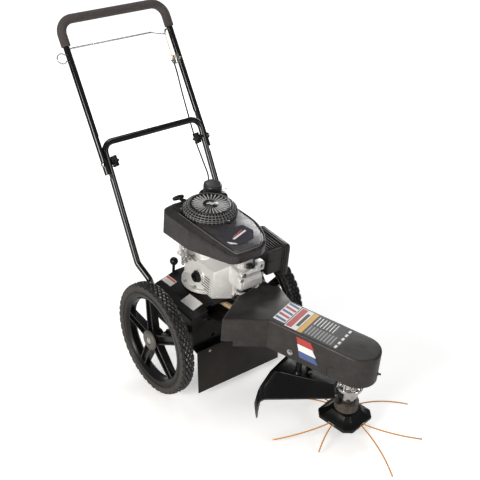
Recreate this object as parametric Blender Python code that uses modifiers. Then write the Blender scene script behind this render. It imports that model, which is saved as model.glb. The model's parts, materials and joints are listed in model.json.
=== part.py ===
"""Walk-behind string trimmer, built from separate pieces.

Metres, +Z up. The trimmer head points to -Y, the handle to +Y, and -X is the operator's right.
The deck, engine, arm and head share one frame that is tipped nose down by TILT, so that the
machine rests on its two wheels and on the skid cup under the trimmer head.
"""
import math

import bmesh
import bpy
import numpy as np
from mathutils import Matrix, Vector

GAP = 0.0003
FIT = 0.0005

# Stance and wheels
TILT = math.radians(7.5)
WHEEL_RADIUS = 0.178
TRACK_OUTER = 0.231
TYRE_WIDTH = 0.042
TYRE_BEAD_RADIUS = 0.155
RIM_INNER_RADIUS = 0.1285
RIM_WIDTH = 0.037
WEB_THICKNESS = 0.010
SPOKES = 5
SPOKE_WIDTH = 0.030
SPOKE_RIB = 0.006
SPOKE_RIB_HEIGHT = 0.008
SPOKE_START = math.radians(78)
HUB_RADIUS = 0.029
HUB_CAP_RADIUS = 0.032
HUB_CAP_HEIGHT = 0.008
WHEEL_SEGMENTS = 40

# Cranked axle and its height lever
AXLE_RADIUS = 0.008
AXLE_ARM_THICKNESS = 0.007
AXLE_ARM_WIDTH = 0.024
AXLE_PIVOT_Y = -0.0165
AXLE_PIVOT_Z = 0.2025
LEVER_RADIUS = 0.0045
LEVER_X = -0.073
LEVER_TOP_Z = 0.3325
LEVER_BALL_RADIUS = 0.0115
DETENTS = 3

# Deck
DECK_HALF_WIDTH = 0.157
DECK_FLAT_HALF = 0.070
DECK_TOP_Z = 0.315
DECK_SHOULDER_Z = 0.2885
DECK_BOTTOM_Z = 0.190
DECK_FRONT_Y = -0.081
DECK_REAR_Y = 0.128
DECK_SHEET = 0.003
DECK_LIP = 0.018
BELT_SLOT = (-0.100, 0.070, 0.2695)
FLAP_THICKNESS = 0.003
FLAP_HEIGHT = 0.148
FLAP_OVERLAP = 0.003
FLAP_HALF_WIDTH = 0.156

# Belt cover and arm
HEAD_X = 0.104
HEAD_Y = -0.496
ARM_YAW = math.radians(18)
ARM_TOP_Z = 0.3665
ARM_HALF_WIDTH = 0.060
ARM_LENGTH = 0.249
ARM_SIDE = 0.097
COVER_SHEET = 0.002
COVER_EDGE = 0.006
COVER_NOSE_REACH = 0.0125
COVER_NEAR_CORNER = (-0.143, 0.357)
COVER_FAR_CORNER = (0.101, 0.317)
COVER_STEP = 0.018
COVER_STEP_LENGTH = 0.030
BEAM_HALF_WIDTH = ARM_HALF_WIDTH - COVER_SHEET - FIT
BEAM_THICKNESS = 0.006
BEAM_LENGTH = 0.490
BEAM_BOTTOM = FIT - ARM_SIDE

# Spindle, guard and trimmer head, heights below the top of the arm
SPINDLE_RADIUS = 0.012
SPINDLE_TOP = -0.050
HOUSING_RADIUS = 0.027
HOUSING_BOTTOM = -0.199
GUARD_SEAT = -0.150
GUARD_COLLAR = 0.047
GUARD_COLLAR_RADIUS = 0.041
GUARD_TOP = -0.1565
GUARD_REACH = 0.213
GUARD_RADIUS = 0.248
GUARD_HALF_ANGLE = math.radians(40)
GUARD_FLAT_ANGLE = math.radians(19)
GUARD_DROP = 0.038
GUARD_SKIRT = 0.044
GUARD_SKIRT_FLARE = 0.016
GUARD_SKIRT_SPREAD = 1.15
GUARD_SHEET = 0.003
GUARD_POST_RADIUS = 0.009
SPACER_RADIUS = 0.035
SPACER_HEIGHT = 0.026
HEAD_HALF = 0.0642
HEAD_SHOULDER = (0.050, 0.018)
HEAD_TOP_HALF = 0.036
HEAD_CORNER = 0.68
HEAD_RIM = 0.011
HEAD_HEIGHT = 0.0345
HEAD_TURN = math.radians(9)
CUP_RADIUS = 0.034
CUP_FLAT_RADIUS = 0.020
LINE_RADIUS = 0.00195
LINE_POST_RADIUS = 0.003
LINE_POST_DEPTH = 0.011
LINE_SPACING = 0.0115
LINE_BEND = 0.4
LINE_STEP = 0.0115

# Belt drive
CRANK_X = -0.024
CRANK_Y = 0.034
BELT_OUTER = 0.036
BELT_THICKNESS = 0.008
BELT_WIDTH = 0.013
BELT_Z = 0.297
PULLEY_WIDTH = 0.020
PULLEY_LIP = 0.001
CRANKSHAFT_RADIUS = 0.0125

# Engine, heights above the deck
BASE_RADIUS = 0.074
BASE_HEIGHT = 0.012
CASE_LEFT_TOP = 0.092
CASE_TOP = 0.120
CASE_RIDGE_X = 0.004
TOWER_RADIUS = 0.040
TOWER_TOP = 0.140
FLYWHEEL_RADIUS = 0.072
FLYWHEEL_BOTTOM = 0.150
FLYWHEEL_HEIGHT = 0.030
COVER_BOTTOM_REAR = 0.163
COVER_BOTTOM_KNEE = 0.173
COVER_BOTTOM_FRONT = 0.226
COVER_TOP_REAR = 0.243
COVER_TOP_FRONT = 0.2572
COVER_WALL = 0.0025
COVER_ROUND = 0.010
COVER_KNEE = (-0.106, -0.040)
RECOIL_RADIUS = 0.081
RECOIL_DISC_RADIUS = 0.057
RECOIL_TOP = 0.274
RECOIL_WALL = 0.0025
RECOIL_SLOTS = 20
REEL_RADIUS = 0.038
REEL_HEIGHT = 0.010
ROPE_RADIUS = 0.002
GRIP_LENGTH = 0.038
GRIP_RADIUS = 0.0075
GRIP_Y = 0.106
GRIP_HEIGHT = 0.252
TANK_BOTTOM = 0.150
TANK_TOP = 0.242
FUEL_CAP_RADIUS = 0.029
FUEL_CAP_HEIGHT = 0.031
OIL_BOSS = (-0.052, -0.022, 0.046)
OIL_CAP_RADIUS = 0.0155
PORT_FACE = 0.0752
CLEANER_X = 0.113
CLEANER_COVER_X = 0.1725
LEVER_PIN_RADIUS = 0.003
GOVERNOR_PIVOT = (-0.058, 0.010, 0.100)
BRAKE_PIVOT = (0.010, 0.092, 0.070)

# Handles
TUBE_RADIUS = 0.0098
BEND_RADIUS = 0.045
FOLD_Y = 0.2688
FOLD_Z = 0.655
UPPER_ANGLE = math.radians(60.8)
UPPER_HALF = 0.187
UPPER_LENGTH = 0.449
UPPER_TAIL = 0.034
UPPER_OFFSET = 0.0045
LOWER_HALF = 0.1775
LAP_PLANE = (UPPER_HALF + LOWER_HALF) / 2
LAP_ABOVE = 0.085
LAP_BELOW = 0.048
FOAM_RADIUS = 0.0145
FOAM_END = 0.3685
BAIL_RADIUS = 0.0025
BAIL_PIVOT = 0.361
BAIL_REACH = 0.068
BAIL_REST = math.radians(17.6)
BOLT_RADIUS = 0.003
KNOB_RADIUS = 0.019
KNOB_LOBES = 6
CABLE_RADIUS = 0.0025
ROPE_GUIDE_RADIUS = 0.0155
ROPE_GUIDE_END = 0.003


def clear_scene():
    for item in list(bpy.data.objects):
        bpy.data.objects.remove(item, do_unlink=True)


clear_scene()
scene_root = bpy.context.scene.collection
parts = bpy.data.collections.new("walk_behind_string_trimmer")
cutters = bpy.data.collections.new("cutters")
scene_root.children.link(parts)
scene_root.children.link(cutters)


def make_material(name, colour, roughness, metallic=0.0):
    material = bpy.data.materials.new(name)
    material.use_nodes = True
    shader = material.node_tree.nodes["Principled BSDF"]
    shader.inputs["Base Color"].default_value = (*colour, 1.0)
    shader.inputs["Roughness"].default_value = roughness
    shader.inputs["Metallic"].default_value = metallic
    return material


BLACK_PAINT = make_material("black_powder_coat", (0.015, 0.015, 0.016), 0.35)
GREY_PAINT = make_material("dark_grey_paint", (0.050, 0.046, 0.043), 0.40)
ENGINE_PLASTIC = make_material("engine_cover_plastic", (0.045, 0.040, 0.040), 0.42)
BLACK_PLASTIC = make_material("black_plastic", (0.012, 0.012, 0.012), 0.35)
CAST_METAL = make_material("cast_aluminium", (0.62, 0.61, 0.58), 0.40, 0.8)
STEEL = make_material("steel", (0.50, 0.50, 0.50), 0.30, 1.0)
CHROME = make_material("chrome", (0.75, 0.75, 0.76), 0.12, 1.0)
BRASS = make_material("brass", (0.60, 0.42, 0.15), 0.30, 1.0)
FOAM = make_material("foam_grip", (0.115, 0.095, 0.090), 0.90)
TYRE_RUBBER = make_material("tyre_rubber", (0.070, 0.065, 0.060), 0.75)
BELT_RUBBER = make_material("belt_rubber", (0.30, 0.22, 0.13), 0.70)
FLAP_RUBBER = make_material("flap_rubber", (0.030, 0.026, 0.022), 0.60)
LINE_NYLON = make_material("orange_nylon", (0.90, 0.28, 0.05), 0.40)


def frame(name, parent, location=(0, 0, 0), rotation=(0, 0, 0)):
    """An empty that carries the pieces of one body or one group."""
    empty = bpy.data.objects.new(name, None)
    empty.empty_display_size = 0.03
    empty.location = location
    empty.rotation_euler = rotation
    empty.parent = parent
    parts.objects.link(empty)
    return empty


def add(name, mesh, material, parent, location=(0, 0, 0), rotation=(0, 0, 0), smooth=True):
    """Place a mesh as a named piece under its parent frame."""
    piece = bpy.data.objects.new(name, mesh)
    mesh.materials.clear()
    mesh.materials.append(material)
    if smooth:
        mesh.shade_smooth()
        mesh.set_sharp_from_angle(angle=math.radians(35))
    piece.location = location
    piece.rotation_euler = rotation
    piece.parent = parent
    parts.objects.link(piece)
    return piece


def mesh_from(bm, name="shape"):
    bmesh.ops.remove_doubles(bm, verts=bm.verts, dist=0.00001)
    bmesh.ops.recalc_face_normals(bm, faces=bm.faces)
    mesh = bpy.data.meshes.new(name)
    bm.to_mesh(mesh)
    bm.free()
    return mesh


def evaluated(item):
    """The mesh that an object gives after its modifiers, with the object removed."""
    depsgraph = bpy.context.evaluated_depsgraph_get()
    mesh = bpy.data.meshes.new_from_object(item.evaluated_get(depsgraph))
    mesh.transform(item.matrix_world)
    bpy.data.objects.remove(item, do_unlink=True)
    return mesh


def helper(mesh_or_curve):
    """A short-lived construction object, kept with the cutters."""
    item = bpy.data.objects.new("helper", mesh_or_curve)
    item.hide_render = True
    item.display_type = "WIRE"
    cutters.objects.link(item)
    return item


def block(low, high, bevel=0.0, segments=1):
    """A box between two corners, with optional rounded edges."""
    bm = bmesh.new()
    bmesh.ops.create_cube(bm, size=1.0)
    low = Vector(low)
    high = Vector(high)
    bmesh.ops.scale(bm, vec=high - low, verts=bm.verts)
    bmesh.ops.translate(bm, vec=(low + high) / 2, verts=bm.verts)
    if bevel:
        bmesh.ops.bevel(bm, geom=bm.edges[:], offset=bevel, segments=segments, affect="EDGES",
                        profile=0.5)
    return mesh_from(bm)


def rod(start, end, radius, segments=16, end_radius=None):
    """A cylinder or cone between two points."""
    start = Vector(start)
    end = Vector(end)
    bm = bmesh.new()
    far = radius if end_radius is None else end_radius
    bmesh.ops.create_cone(bm, cap_ends=True, segments=segments, radius1=radius, radius2=far,
                          depth=(end - start).length)
    turn = Vector((0, 0, 1)).rotation_difference(end - start).to_matrix().to_4x4()
    bmesh.ops.transform(bm, matrix=Matrix.Translation((start + end) / 2) @ turn, verts=bm.verts)
    return mesh_from(bm)


def ball(center, radius, segments=16):
    bm = bmesh.new()
    bmesh.ops.create_uvsphere(bm, u_segments=segments, v_segments=segments // 2, radius=radius)
    bmesh.ops.translate(bm, vec=center, verts=bm.verts)
    return mesh_from(bm)


def turned(profile, steps, closed=False):
    """A profile of (radius, height) points turned round Z with a Screw modifier."""
    mesh = bpy.data.meshes.new("profile")
    edges = [(i, i + 1) for i in range(len(profile) - 1)]
    if closed:
        edges.append((len(profile) - 1, 0))
    mesh.from_pydata([(r, 0.0, z) for r, z in profile], edges, [])
    item = helper(mesh)
    screw = item.modifiers.new("screw", "SCREW")
    screw.steps = steps
    screw.render_steps = steps
    screw.use_merge_vertices = True
    screw.merge_threshold = 0.00001
    bm = bmesh.new()
    bm.from_mesh(evaluated(item))
    return mesh_from(bm)


def ring(outer, inner, low, high, steps=32):
    """A plain tube section round Z."""
    return turned([(outer, high), (outer, low), (inner, low), (inner, high)], steps, closed=True)


def outline_plate(outlines, low, high):
    """A flat outline, with any holes as further outlines, extruded between two heights."""
    curve = bpy.data.curves.new("outline", "CURVE")
    curve.dimensions = "2D"
    curve.fill_mode = "BOTH"
    curve.extrude = (high - low) / 2
    for points in outlines:
        spline = curve.splines.new("POLY")
        spline.points.add(len(points) - 1)
        for slot, point in zip(spline.points, points):
            slot.co = (point[0], point[1], 0.0, 1.0)
        spline.use_cyclic_u = True
    item = helper(curve)
    mesh = evaluated(item)
    mesh.transform(Matrix.Translation((0, 0, (low + high) / 2)))
    bm = bmesh.new()
    bm.from_mesh(mesh)
    return mesh_from(bm)


def tube(points, radius, resolution=2, closed=False):
    """A round bar or cord along a list of points."""
    curve = bpy.data.curves.new("path", "CURVE")
    curve.dimensions = "3D"
    curve.bevel_depth = radius
    curve.bevel_resolution = resolution
    curve.use_fill_caps = not closed
    spline = curve.splines.new("POLY")
    spline.points.add(len(points) - 1)
    for slot, point in zip(spline.points, points):
        slot.co = (*point, 1.0)
    spline.use_cyclic_u = closed
    bm = bmesh.new()
    bm.from_mesh(evaluated(helper(curve)))
    return mesh_from(bm)


def arc(center, radius, start, end, steps):
    """Points on a circle in the XY plane, both ends included."""
    angles = np.linspace(start, end, steps + 1)
    return [(center[0] + radius * math.cos(a), center[1] + radius * math.sin(a)) for a in angles]


def bent(corners, radius, steps=6):
    """A polyline whose corners are rounded to the given bend radius."""
    corners = [Vector(c) for c in corners]
    points = [corners[0]]
    for before, corner, after in zip(corners, corners[1:], corners[2:]):
        into = (before - corner).normalized()
        out = (after - corner).normalized()
        half = into.angle(out) / 2
        reach = radius / math.tan(half)
        center = corner + (into + out).normalized() * radius / math.sin(half)
        first = corner + into * reach - center
        last = corner + out * reach - center
        sweep = first.angle(last)
        axis = first.cross(last).normalized()
        for i in range(steps + 1):
            points.append(center + Matrix.Rotation(sweep * i / steps, 3, axis) @ first)
    points.append(corners[-1])
    return points


def smooth_route(points, spacing):
    """Even points on a smooth curve through the chosen route points."""
    keys = [Vector(p) for p in points]
    keys = [2 * keys[0] - keys[1]] + keys + [2 * keys[-1] - keys[-2]]
    fine = []
    for a, b, c, d in zip(keys, keys[1:], keys[2:], keys[3:]):
        for t in np.linspace(0, 1, 24, endpoint=False):
            fine.append(0.5 * (2 * b + (c - a) * t + (2 * a - 5 * b + 4 * c - d) * t * t
                               + (3 * b - a - 3 * c + d) * t ** 3))
    fine.append(keys[-2])
    lengths = np.cumsum([0.0] + [(q - p).length for p, q in zip(fine, fine[1:])])
    count = max(2, round(lengths[-1] / spacing))
    wanted = np.linspace(0, lengths[-1], count + 1)
    grid = np.array([tuple(p) for p in fine])
    return [tuple(np.interp(w, lengths, grid[:, k]) for k in range(3)) for w in wanted]


def offset_outline(points, distance):
    """Move each edge of an anticlockwise outline inwards by a distance."""
    moved = []
    count = len(points)
    for i in range(count):
        a = Vector(points[i - 1])
        b = Vector(points[i])
        c = Vector(points[(i + 1) % count])
        normal_in = Vector((-(b - a).y, (b - a).x)).normalized()
        normal_out = Vector((-(c - b).y, (c - b).x)).normalized()
        bisector = (normal_in + normal_out).normalized()
        moved.append(tuple(b + bisector * distance / max(0.2, bisector.dot(normal_in))))
    return moved


def shifted(mesh, offset=(0, 0, 0), turn=None):
    """Turn a mesh and then move it."""
    if turn is not None:
        mesh.transform(turn)
    mesh.transform(Matrix.Translation(offset))
    return mesh


def combine(base, others, operation):
    """Join meshes to a base mesh, or cut them from it, with exact Booleans."""
    target = helper(base)
    tools = [helper(mesh) for mesh in others]
    for tool in tools:
        modifier = target.modifiers.new(operation, "BOOLEAN")
        modifier.operation = operation
        modifier.solver = "EXACT"
        modifier.object = tool
    bpy.context.view_layer.update()
    mesh = evaluated(target)
    for tool in tools:
        bpy.data.objects.remove(tool, do_unlink=True)
    bm = bmesh.new()
    bm.from_mesh(mesh)
    bmesh.ops.remove_doubles(bm, verts=bm.verts, dist=0.00001)
    bmesh.ops.dissolve_degenerate(bm, dist=0.00001, edges=bm.edges[:])
    bmesh.ops.dissolve_limit(bm, angle_limit=math.radians(0.05), verts=bm.verts[:],
                             edges=bm.edges[:])
    return mesh_from(bm)


def cut(base, *tools):
    return combine(base, tools, "DIFFERENCE")


def join(base, *tools):
    return combine(base, tools, "UNION")


# Frames of the bodies
machine = frame("machine", None)
chassis = frame("chassis", machine, rotation=(TILT, 0, 0))
engine = frame("engine", chassis, (CRANK_X, CRANK_Y, DECK_TOP_Z))
arm = frame("arm", chassis, (HEAD_X, HEAD_Y, ARM_TOP_Z), (0, 0, ARM_YAW))
head = frame("head_axis", arm)
crank = frame("crank_axis", engine)
axle_pivot = frame("axle_pivot", chassis, (0, AXLE_PIVOT_Y, AXLE_PIVOT_Z), (-TILT, 0, 0))
fold = frame("fold_axis", machine, (0, FOLD_Y, FOLD_Z), (UPPER_ANGLE - math.pi / 2, 0, 0))
bail_axis = frame("bail_axis", fold, (0, UPPER_OFFSET, BAIL_PIVOT))


def chassis_to_machine(point):
    return Matrix.Rotation(TILT, 3, "X") @ Vector(point)


# Where the wheels' axle lies, seen from the pivot of the cranked axle
PIVOT_IN_MACHINE = chassis_to_machine((0, AXLE_PIVOT_Y, AXLE_PIVOT_Z))
AXLE_FROM_PIVOT = Vector((0, 0, WHEEL_RADIUS)) - PIVOT_IN_MACHINE
WHEEL_MIDDLE = TRACK_OUTER - TYRE_WIDTH / 2


def wheel_meshes():
    """Rim with five ribbed spokes, tyre and hub cap, outer side towards +Z."""
    half = RIM_WIDTH / 2
    rim_outer = TYRE_BEAD_RADIUS - GAP
    barrel = ring(rim_outer, RIM_INNER_RADIUS, -half, half, WHEEL_SEGMENTS)
    hub = turned([(0, half), (HUB_RADIUS, half), (HUB_RADIUS, -half), (0, -half)], 24)
    pieces = [hub]
    for k in range(SPOKES):
        turn = Matrix.Rotation(SPOKE_START + k * math.tau / SPOKES, 4, "Z")
        reach = RIM_INNER_RADIUS + 0.004
        start = HUB_RADIUS - 0.012
        web = block((start, -SPOKE_WIDTH / 2, -WEB_THICKNESS / 2),
                    (reach, SPOKE_WIDTH / 2, WEB_THICKNESS / 2))
        pieces.append(shifted(web, turn=turn))
        for side in (-1, 1):
            inner = side * (SPOKE_WIDTH / 2 - SPOKE_RIB)
            outer = side * (SPOKE_WIDTH / 2 + 0.0005)
            rib = block((start, min(inner, outer), -WEB_THICKNESS / 2 - 0.001),
                        (reach, max(inner, outer), WEB_THICKNESS / 2 + SPOKE_RIB_HEIGHT))
            pieces.append(shifted(rib, turn=turn))
    bore = rod((0, 0, -half - 0.01), (0, 0, half + 0.01), AXLE_RADIUS + GAP, 16)
    rim = cut(join(barrel, *pieces), bore)
    half_tyre = TYRE_WIDTH / 2
    tread = WHEEL_RADIUS
    profile = [(tread - 0.005, half_tyre), (tread, half_tyre - 0.009), (tread, 0.009 - half_tyre),
               (tread - 0.005, -half_tyre), (TYRE_BEAD_RADIUS + 0.001, -half_tyre),
               (TYRE_BEAD_RADIUS, -half), (TYRE_BEAD_RADIUS, half),
               (TYRE_BEAD_RADIUS + 0.001, half_tyre)]
    tyre = turned(profile, WHEEL_SEGMENTS, closed=True)
    seat = half + GAP
    top = seat + HUB_CAP_HEIGHT
    cap = turned([(0, top - 0.002), (0.012, top - 0.002), (0.016, top), (HUB_CAP_RADIUS - 0.006, top),
                  (HUB_CAP_RADIUS, top - 0.004), (HUB_CAP_RADIUS, seat), (0, seat)], 20)
    return rim, tyre, cap


def make_wheels():
    for name, side in (("right", -1), ("left", 1)):
        rim, tyre, cap = wheel_meshes()
        axis = frame("wheel_axis_" + name, axle_pivot,
                     AXLE_FROM_PIVOT + Vector((side * WHEEL_MIDDLE, 0, 0)))
        turn = (0, side * math.pi / 2, 0)
        add("wheel_rim_" + name, rim, BLACK_PAINT, axis, rotation=turn)
        add("tyre_" + name, tyre, TYRE_RUBBER, axis, rotation=turn)
        add("hub_cap_" + name, cap, GREY_PAINT, axis, rotation=turn)


def make_cranked_axle():
    """A cross tube in the deck, a crank arm and a stub axle at each end, and the lever."""
    arm_start = DECK_HALF_WIDTH + 0.002
    arm_end = arm_start + AXLE_ARM_THICKNESS
    stub_end = WHEEL_MIDDLE + RIM_WIDTH / 2
    wheel_y = AXLE_FROM_PIVOT.y
    wheel_z = AXLE_FROM_PIVOT.z
    body = rod((-arm_end, 0, 0), (arm_end, 0, 0), AXLE_RADIUS, 16)
    extras = []
    length = math.hypot(wheel_y, wheel_z)
    turn = Matrix.Rotation(math.atan2(wheel_z, wheel_y), 4, "X")
    for side in (-1, 1):
        half = AXLE_ARM_WIDTH / 2
        outline = arc((0, 0), half, math.pi / 2, 3 * math.pi / 2, 8)
        outline += arc((length, 0), half, -math.pi / 2, math.pi / 2, 8)
        plate = outline_plate([outline], min(side * arm_start, side * arm_end),
                              max(side * arm_start, side * arm_end))
        upright = Matrix(((0, 0, 1, 0), (1, 0, 0, 0), (0, 1, 0, 0), (0, 0, 0, 1)))
        extras.append(shifted(plate, turn=turn @ upright))
        extras.append(rod((side * (arm_start + 0.001), wheel_y, wheel_z),
                          (side * stub_end, wheel_y, wheel_z), AXLE_RADIUS, 16))
    back = DECK_REAR_Y - AXLE_PIVOT_Y + LEVER_RADIUS + 0.003
    low = DECK_TOP_Z - AXLE_PIVOT_Z
    to_deck = Matrix.Rotation(TILT, 3, "X")
    route = [(LEVER_X, 0, 0), (LEVER_X, back, low * 0.25),
             (LEVER_X, back, LEVER_TOP_Z - AXLE_PIVOT_Z)]
    route = [to_deck @ Vector(p) for p in bent(route, 0.020, 5)]
    extras.append(tube(route, LEVER_RADIUS, 2))
    add("crank_axle", join(body, *extras), BLACK_PAINT, axle_pivot)
    top = to_deck @ Vector((LEVER_X, back, LEVER_TOP_Z - AXLE_PIVOT_Z))
    knob_center = to_deck @ Vector((LEVER_X, back, LEVER_TOP_Z - AXLE_PIVOT_Z + LEVER_BALL_RADIUS))
    hole = tube([tuple(top - (knob_center - top) * 3), tuple(top + Vector((0, 0, GAP)))],
                LEVER_RADIUS + GAP, 2)
    knob = ball(knob_center, LEVER_BALL_RADIUS + 0.0015, 16)
    add("lever_knob", cut(knob, hole), BLACK_PLASTIC, axle_pivot)


def make_detent_plate():
    """A notched plate under the deck, beside the height lever."""
    left = LEVER_X + LEVER_RADIUS + 0.0015
    top = DECK_TOP_Z - DECK_SHEET - GAP - 0.0006
    back = DECK_REAR_Y - 0.006
    low = AXLE_PIVOT_Z - 0.004
    notch = (top - low - 0.060) / DETENTS
    outline = [(back - 0.075, top), (back - 0.030, low)]
    outline.append((back - 0.006, low))
    for k in range(DETENTS):
        base = low + 0.006 + k * notch
        outline += [(back, base), (back - 0.006, base + 0.25 * notch), (back, base + 0.5 * notch)]
    outline.append((back, top))
    plate = outline_plate([outline], left, left + DECK_SHEET)
    upright = Matrix(((0, 0, 1, 0), (1, 0, 0, 0), (0, 1, 0, 0), (0, 0, 0, 1)))
    add("height_detent_plate", shifted(plate, turn=upright), STEEL, chassis)


def make_deck():
    """A folded sheet: flat top, sloping shoulders, upright sides and a front panel."""
    lean = math.tan(TILT)
    section = [(-DECK_HALF_WIDTH, DECK_BOTTOM_Z), (-DECK_HALF_WIDTH, DECK_SHOULDER_Z),
               (-DECK_FLAT_HALF, DECK_TOP_Z), (DECK_FLAT_HALF, DECK_TOP_Z),
               (DECK_HALF_WIDTH, DECK_SHOULDER_Z), (DECK_HALF_WIDTH, DECK_BOTTOM_Z)]
    bm = bmesh.new()
    front = [bm.verts.new((x, DECK_FRONT_Y - lean * (DECK_TOP_Z - z), z)) for x, z in section]
    rear = [bm.verts.new((x, DECK_REAR_Y, z)) for x, z in section]
    for i in range(len(section) - 1):
        bm.faces.new((front[i], front[i + 1], rear[i + 1], rear[i]))
    bm.faces.new(front[::-1])
    lip_y = DECK_FRONT_Y - lean * (DECK_TOP_Z - DECK_BOTTOM_Z) - DECK_LIP
    lip = [bm.verts.new((x, lip_y, DECK_BOTTOM_Z)) for x in (DECK_HALF_WIDTH, -DECK_HALF_WIDTH)]
    bm.faces.new((front[-1], front[0], lip[1], lip[0]))
    item = helper(mesh_from(bm))
    shell = item.modifiers.new("sheet", "SOLIDIFY")
    shell.thickness = DECK_SHEET
    shell.offset = -1.0
    shell.use_even_offset = True
    sheet = evaluated(item)
    left, right, low = BELT_SLOT
    slot = block((left, DECK_FRONT_Y - 0.04, low), (right, DECK_FRONT_Y + 0.012, DECK_TOP_Z - DECK_SHEET))
    shaft_hole = rod((CRANK_X, CRANK_Y, DECK_TOP_Z - 0.02), (CRANK_X, CRANK_Y, DECK_TOP_Z + 0.02),
                     BELT_OUTER + PULLEY_LIP + 0.003, 24)
    axle_hole = rod((-0.2, AXLE_PIVOT_Y, AXLE_PIVOT_Z), (0.2, AXLE_PIVOT_Y, AXLE_PIVOT_Z),
                    AXLE_RADIUS + FIT, 16)
    add("deck_shell", cut(sheet, slot, shaft_hole, axle_hole), BLACK_PAINT, chassis, smooth=False)


def make_flap():
    """A rubber flap that hangs upright from the lip of the deck."""
    lean = math.tan(TILT)
    lip = Vector((0, DECK_FRONT_Y - lean * (DECK_TOP_Z - DECK_BOTTOM_Z) - DECK_LIP, DECK_BOTTOM_Z))
    top = chassis_to_machine(lip)
    back = top.y - GAP
    sheet = block((-FLAP_HALF_WIDTH, back - FLAP_THICKNESS, top.z + FLAP_OVERLAP - FLAP_HEIGHT),
                  (FLAP_HALF_WIDTH, back, top.z + FLAP_OVERLAP))
    add("debris_flap", sheet, FLAP_RUBBER, machine, smooth=False)


def cover_outline():
    """Outline of the belt cover, anticlockwise, nose round the spindle and rear towards +Y."""
    nose = arc((0, -COVER_NOSE_REACH), ARM_HALF_WIDTH, math.pi, math.tau, 20)
    rear = [(ARM_HALF_WIDTH, ARM_LENGTH), COVER_FAR_CORNER, (0.070, 0.370), (-0.020, 0.385),
            COVER_NEAR_CORNER, (-ARM_HALF_WIDTH, ARM_LENGTH)]
    return nose + rear


def make_belt_cover():
    """A pressed cover, open below and at the rear, with a rounded top edge."""
    outline = cover_outline()
    solid = outline_plate([outline], -ARM_SIDE, 0.0)
    bm = bmesh.new()
    bm.from_mesh(solid)
    bmesh.ops.dissolve_limit(bm, angle_limit=math.radians(1), verts=bm.verts[:], edges=bm.edges[:])
    rim = [e for e in bm.edges if min(v.co.z for v in e.verts) > -1e-6
           and len(e.link_faces) == 2 and abs(e.link_faces[0].normal.z - e.link_faces[1].normal.z) > 0.5]
    bmesh.ops.bevel(bm, geom=rim, offset=COVER_EDGE, segments=2, affect="EDGES", profile=0.5)
    solid = mesh_from(bm)
    inner = offset_outline(outline, COVER_SHEET)
    far, back_far, back_near, near = (Vector(inner[k]) for k in (-5, -4, -3, -2))
    open_rear = inner[:-5] + [tuple(far), tuple(far + Vector((0, 0.12))),
                              tuple(near + Vector((0, 0.10))), tuple(near), inner[-1]]
    hollow = outline_plate([open_rear], -ARM_SIDE - 0.01, -COVER_SHEET - 0.004)
    near_x, near_y = COVER_NEAR_CORNER
    step = block((near_x - 0.02, near_y - COVER_STEP_LENGTH, -ARM_SIDE - 0.01),
                 (near_x + 0.045, near_y + 0.02, COVER_STEP - ARM_SIDE))
    add("belt_cover", cut(solid, hollow, step), GREY_PAINT, arm)


def make_arm_beam():
    """A flat beam from inside the deck to the spindle, under the belt."""
    top = BEAM_BOTTOM + BEAM_THICKNESS
    nose = arc((0, 0), BEAM_HALF_WIDTH, math.pi, math.tau, 12)
    outline = nose + [(BEAM_HALF_WIDTH, BEAM_LENGTH), (-BEAM_HALF_WIDTH, BEAM_LENGTH)]
    hole = arc((0, 0), SPINDLE_RADIUS + 0.001, 0, math.tau, 16)[:-1]
    add("arm_beam", outline_plate([outline, hole], top - BEAM_THICKNESS, top), BLACK_PAINT, arm)


def make_spindle_housing():
    """A cast bearing housing, bolted under the beam, with four nuts on its lower flange."""
    top = BEAM_BOTTOM - GAP
    bore = SPINDLE_RADIUS + FIT
    seat = GUARD_SEAT
    profile = [(0.046, top), (0.046, top - 0.008), (HOUSING_RADIUS, top - 0.014),
               (HOUSING_RADIUS, seat + 0.012), (0.039, seat + 0.009), (0.039, seat + GAP),
               (HOUSING_RADIUS, seat + GAP), (HOUSING_RADIUS, HOUSING_BOTTOM + 0.012),
               (HOUSING_RADIUS - 0.004, HOUSING_BOTTOM), (bore, HOUSING_BOTTOM), (bore, top)]
    body = turned(profile, 24, closed=True)
    nuts = []
    for k in range(4):
        angle = math.radians(45 + 90 * k)
        x = 0.033 * math.cos(angle)
        y = 0.033 * math.sin(angle)
        nuts.append(rod((x, y, seat + 0.004), (x, y, seat + 0.020), 0.0065, 6))
    add("spindle_housing", join(body, *nuts), CHROME, arm)


def guard_rim(angle):
    return min(GUARD_REACH / math.cos(angle), GUARD_RADIUS)


def guard_height(angle):
    """Height of the guard at a turn from the arm: flat behind it, falling away to each side."""
    slope = max(0.0, abs(angle) - GUARD_FLAT_ANGLE) / (GUARD_HALF_ANGLE - GUARD_FLAT_ANGLE)
    return GUARD_TOP - GUARD_DROP * slope


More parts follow.
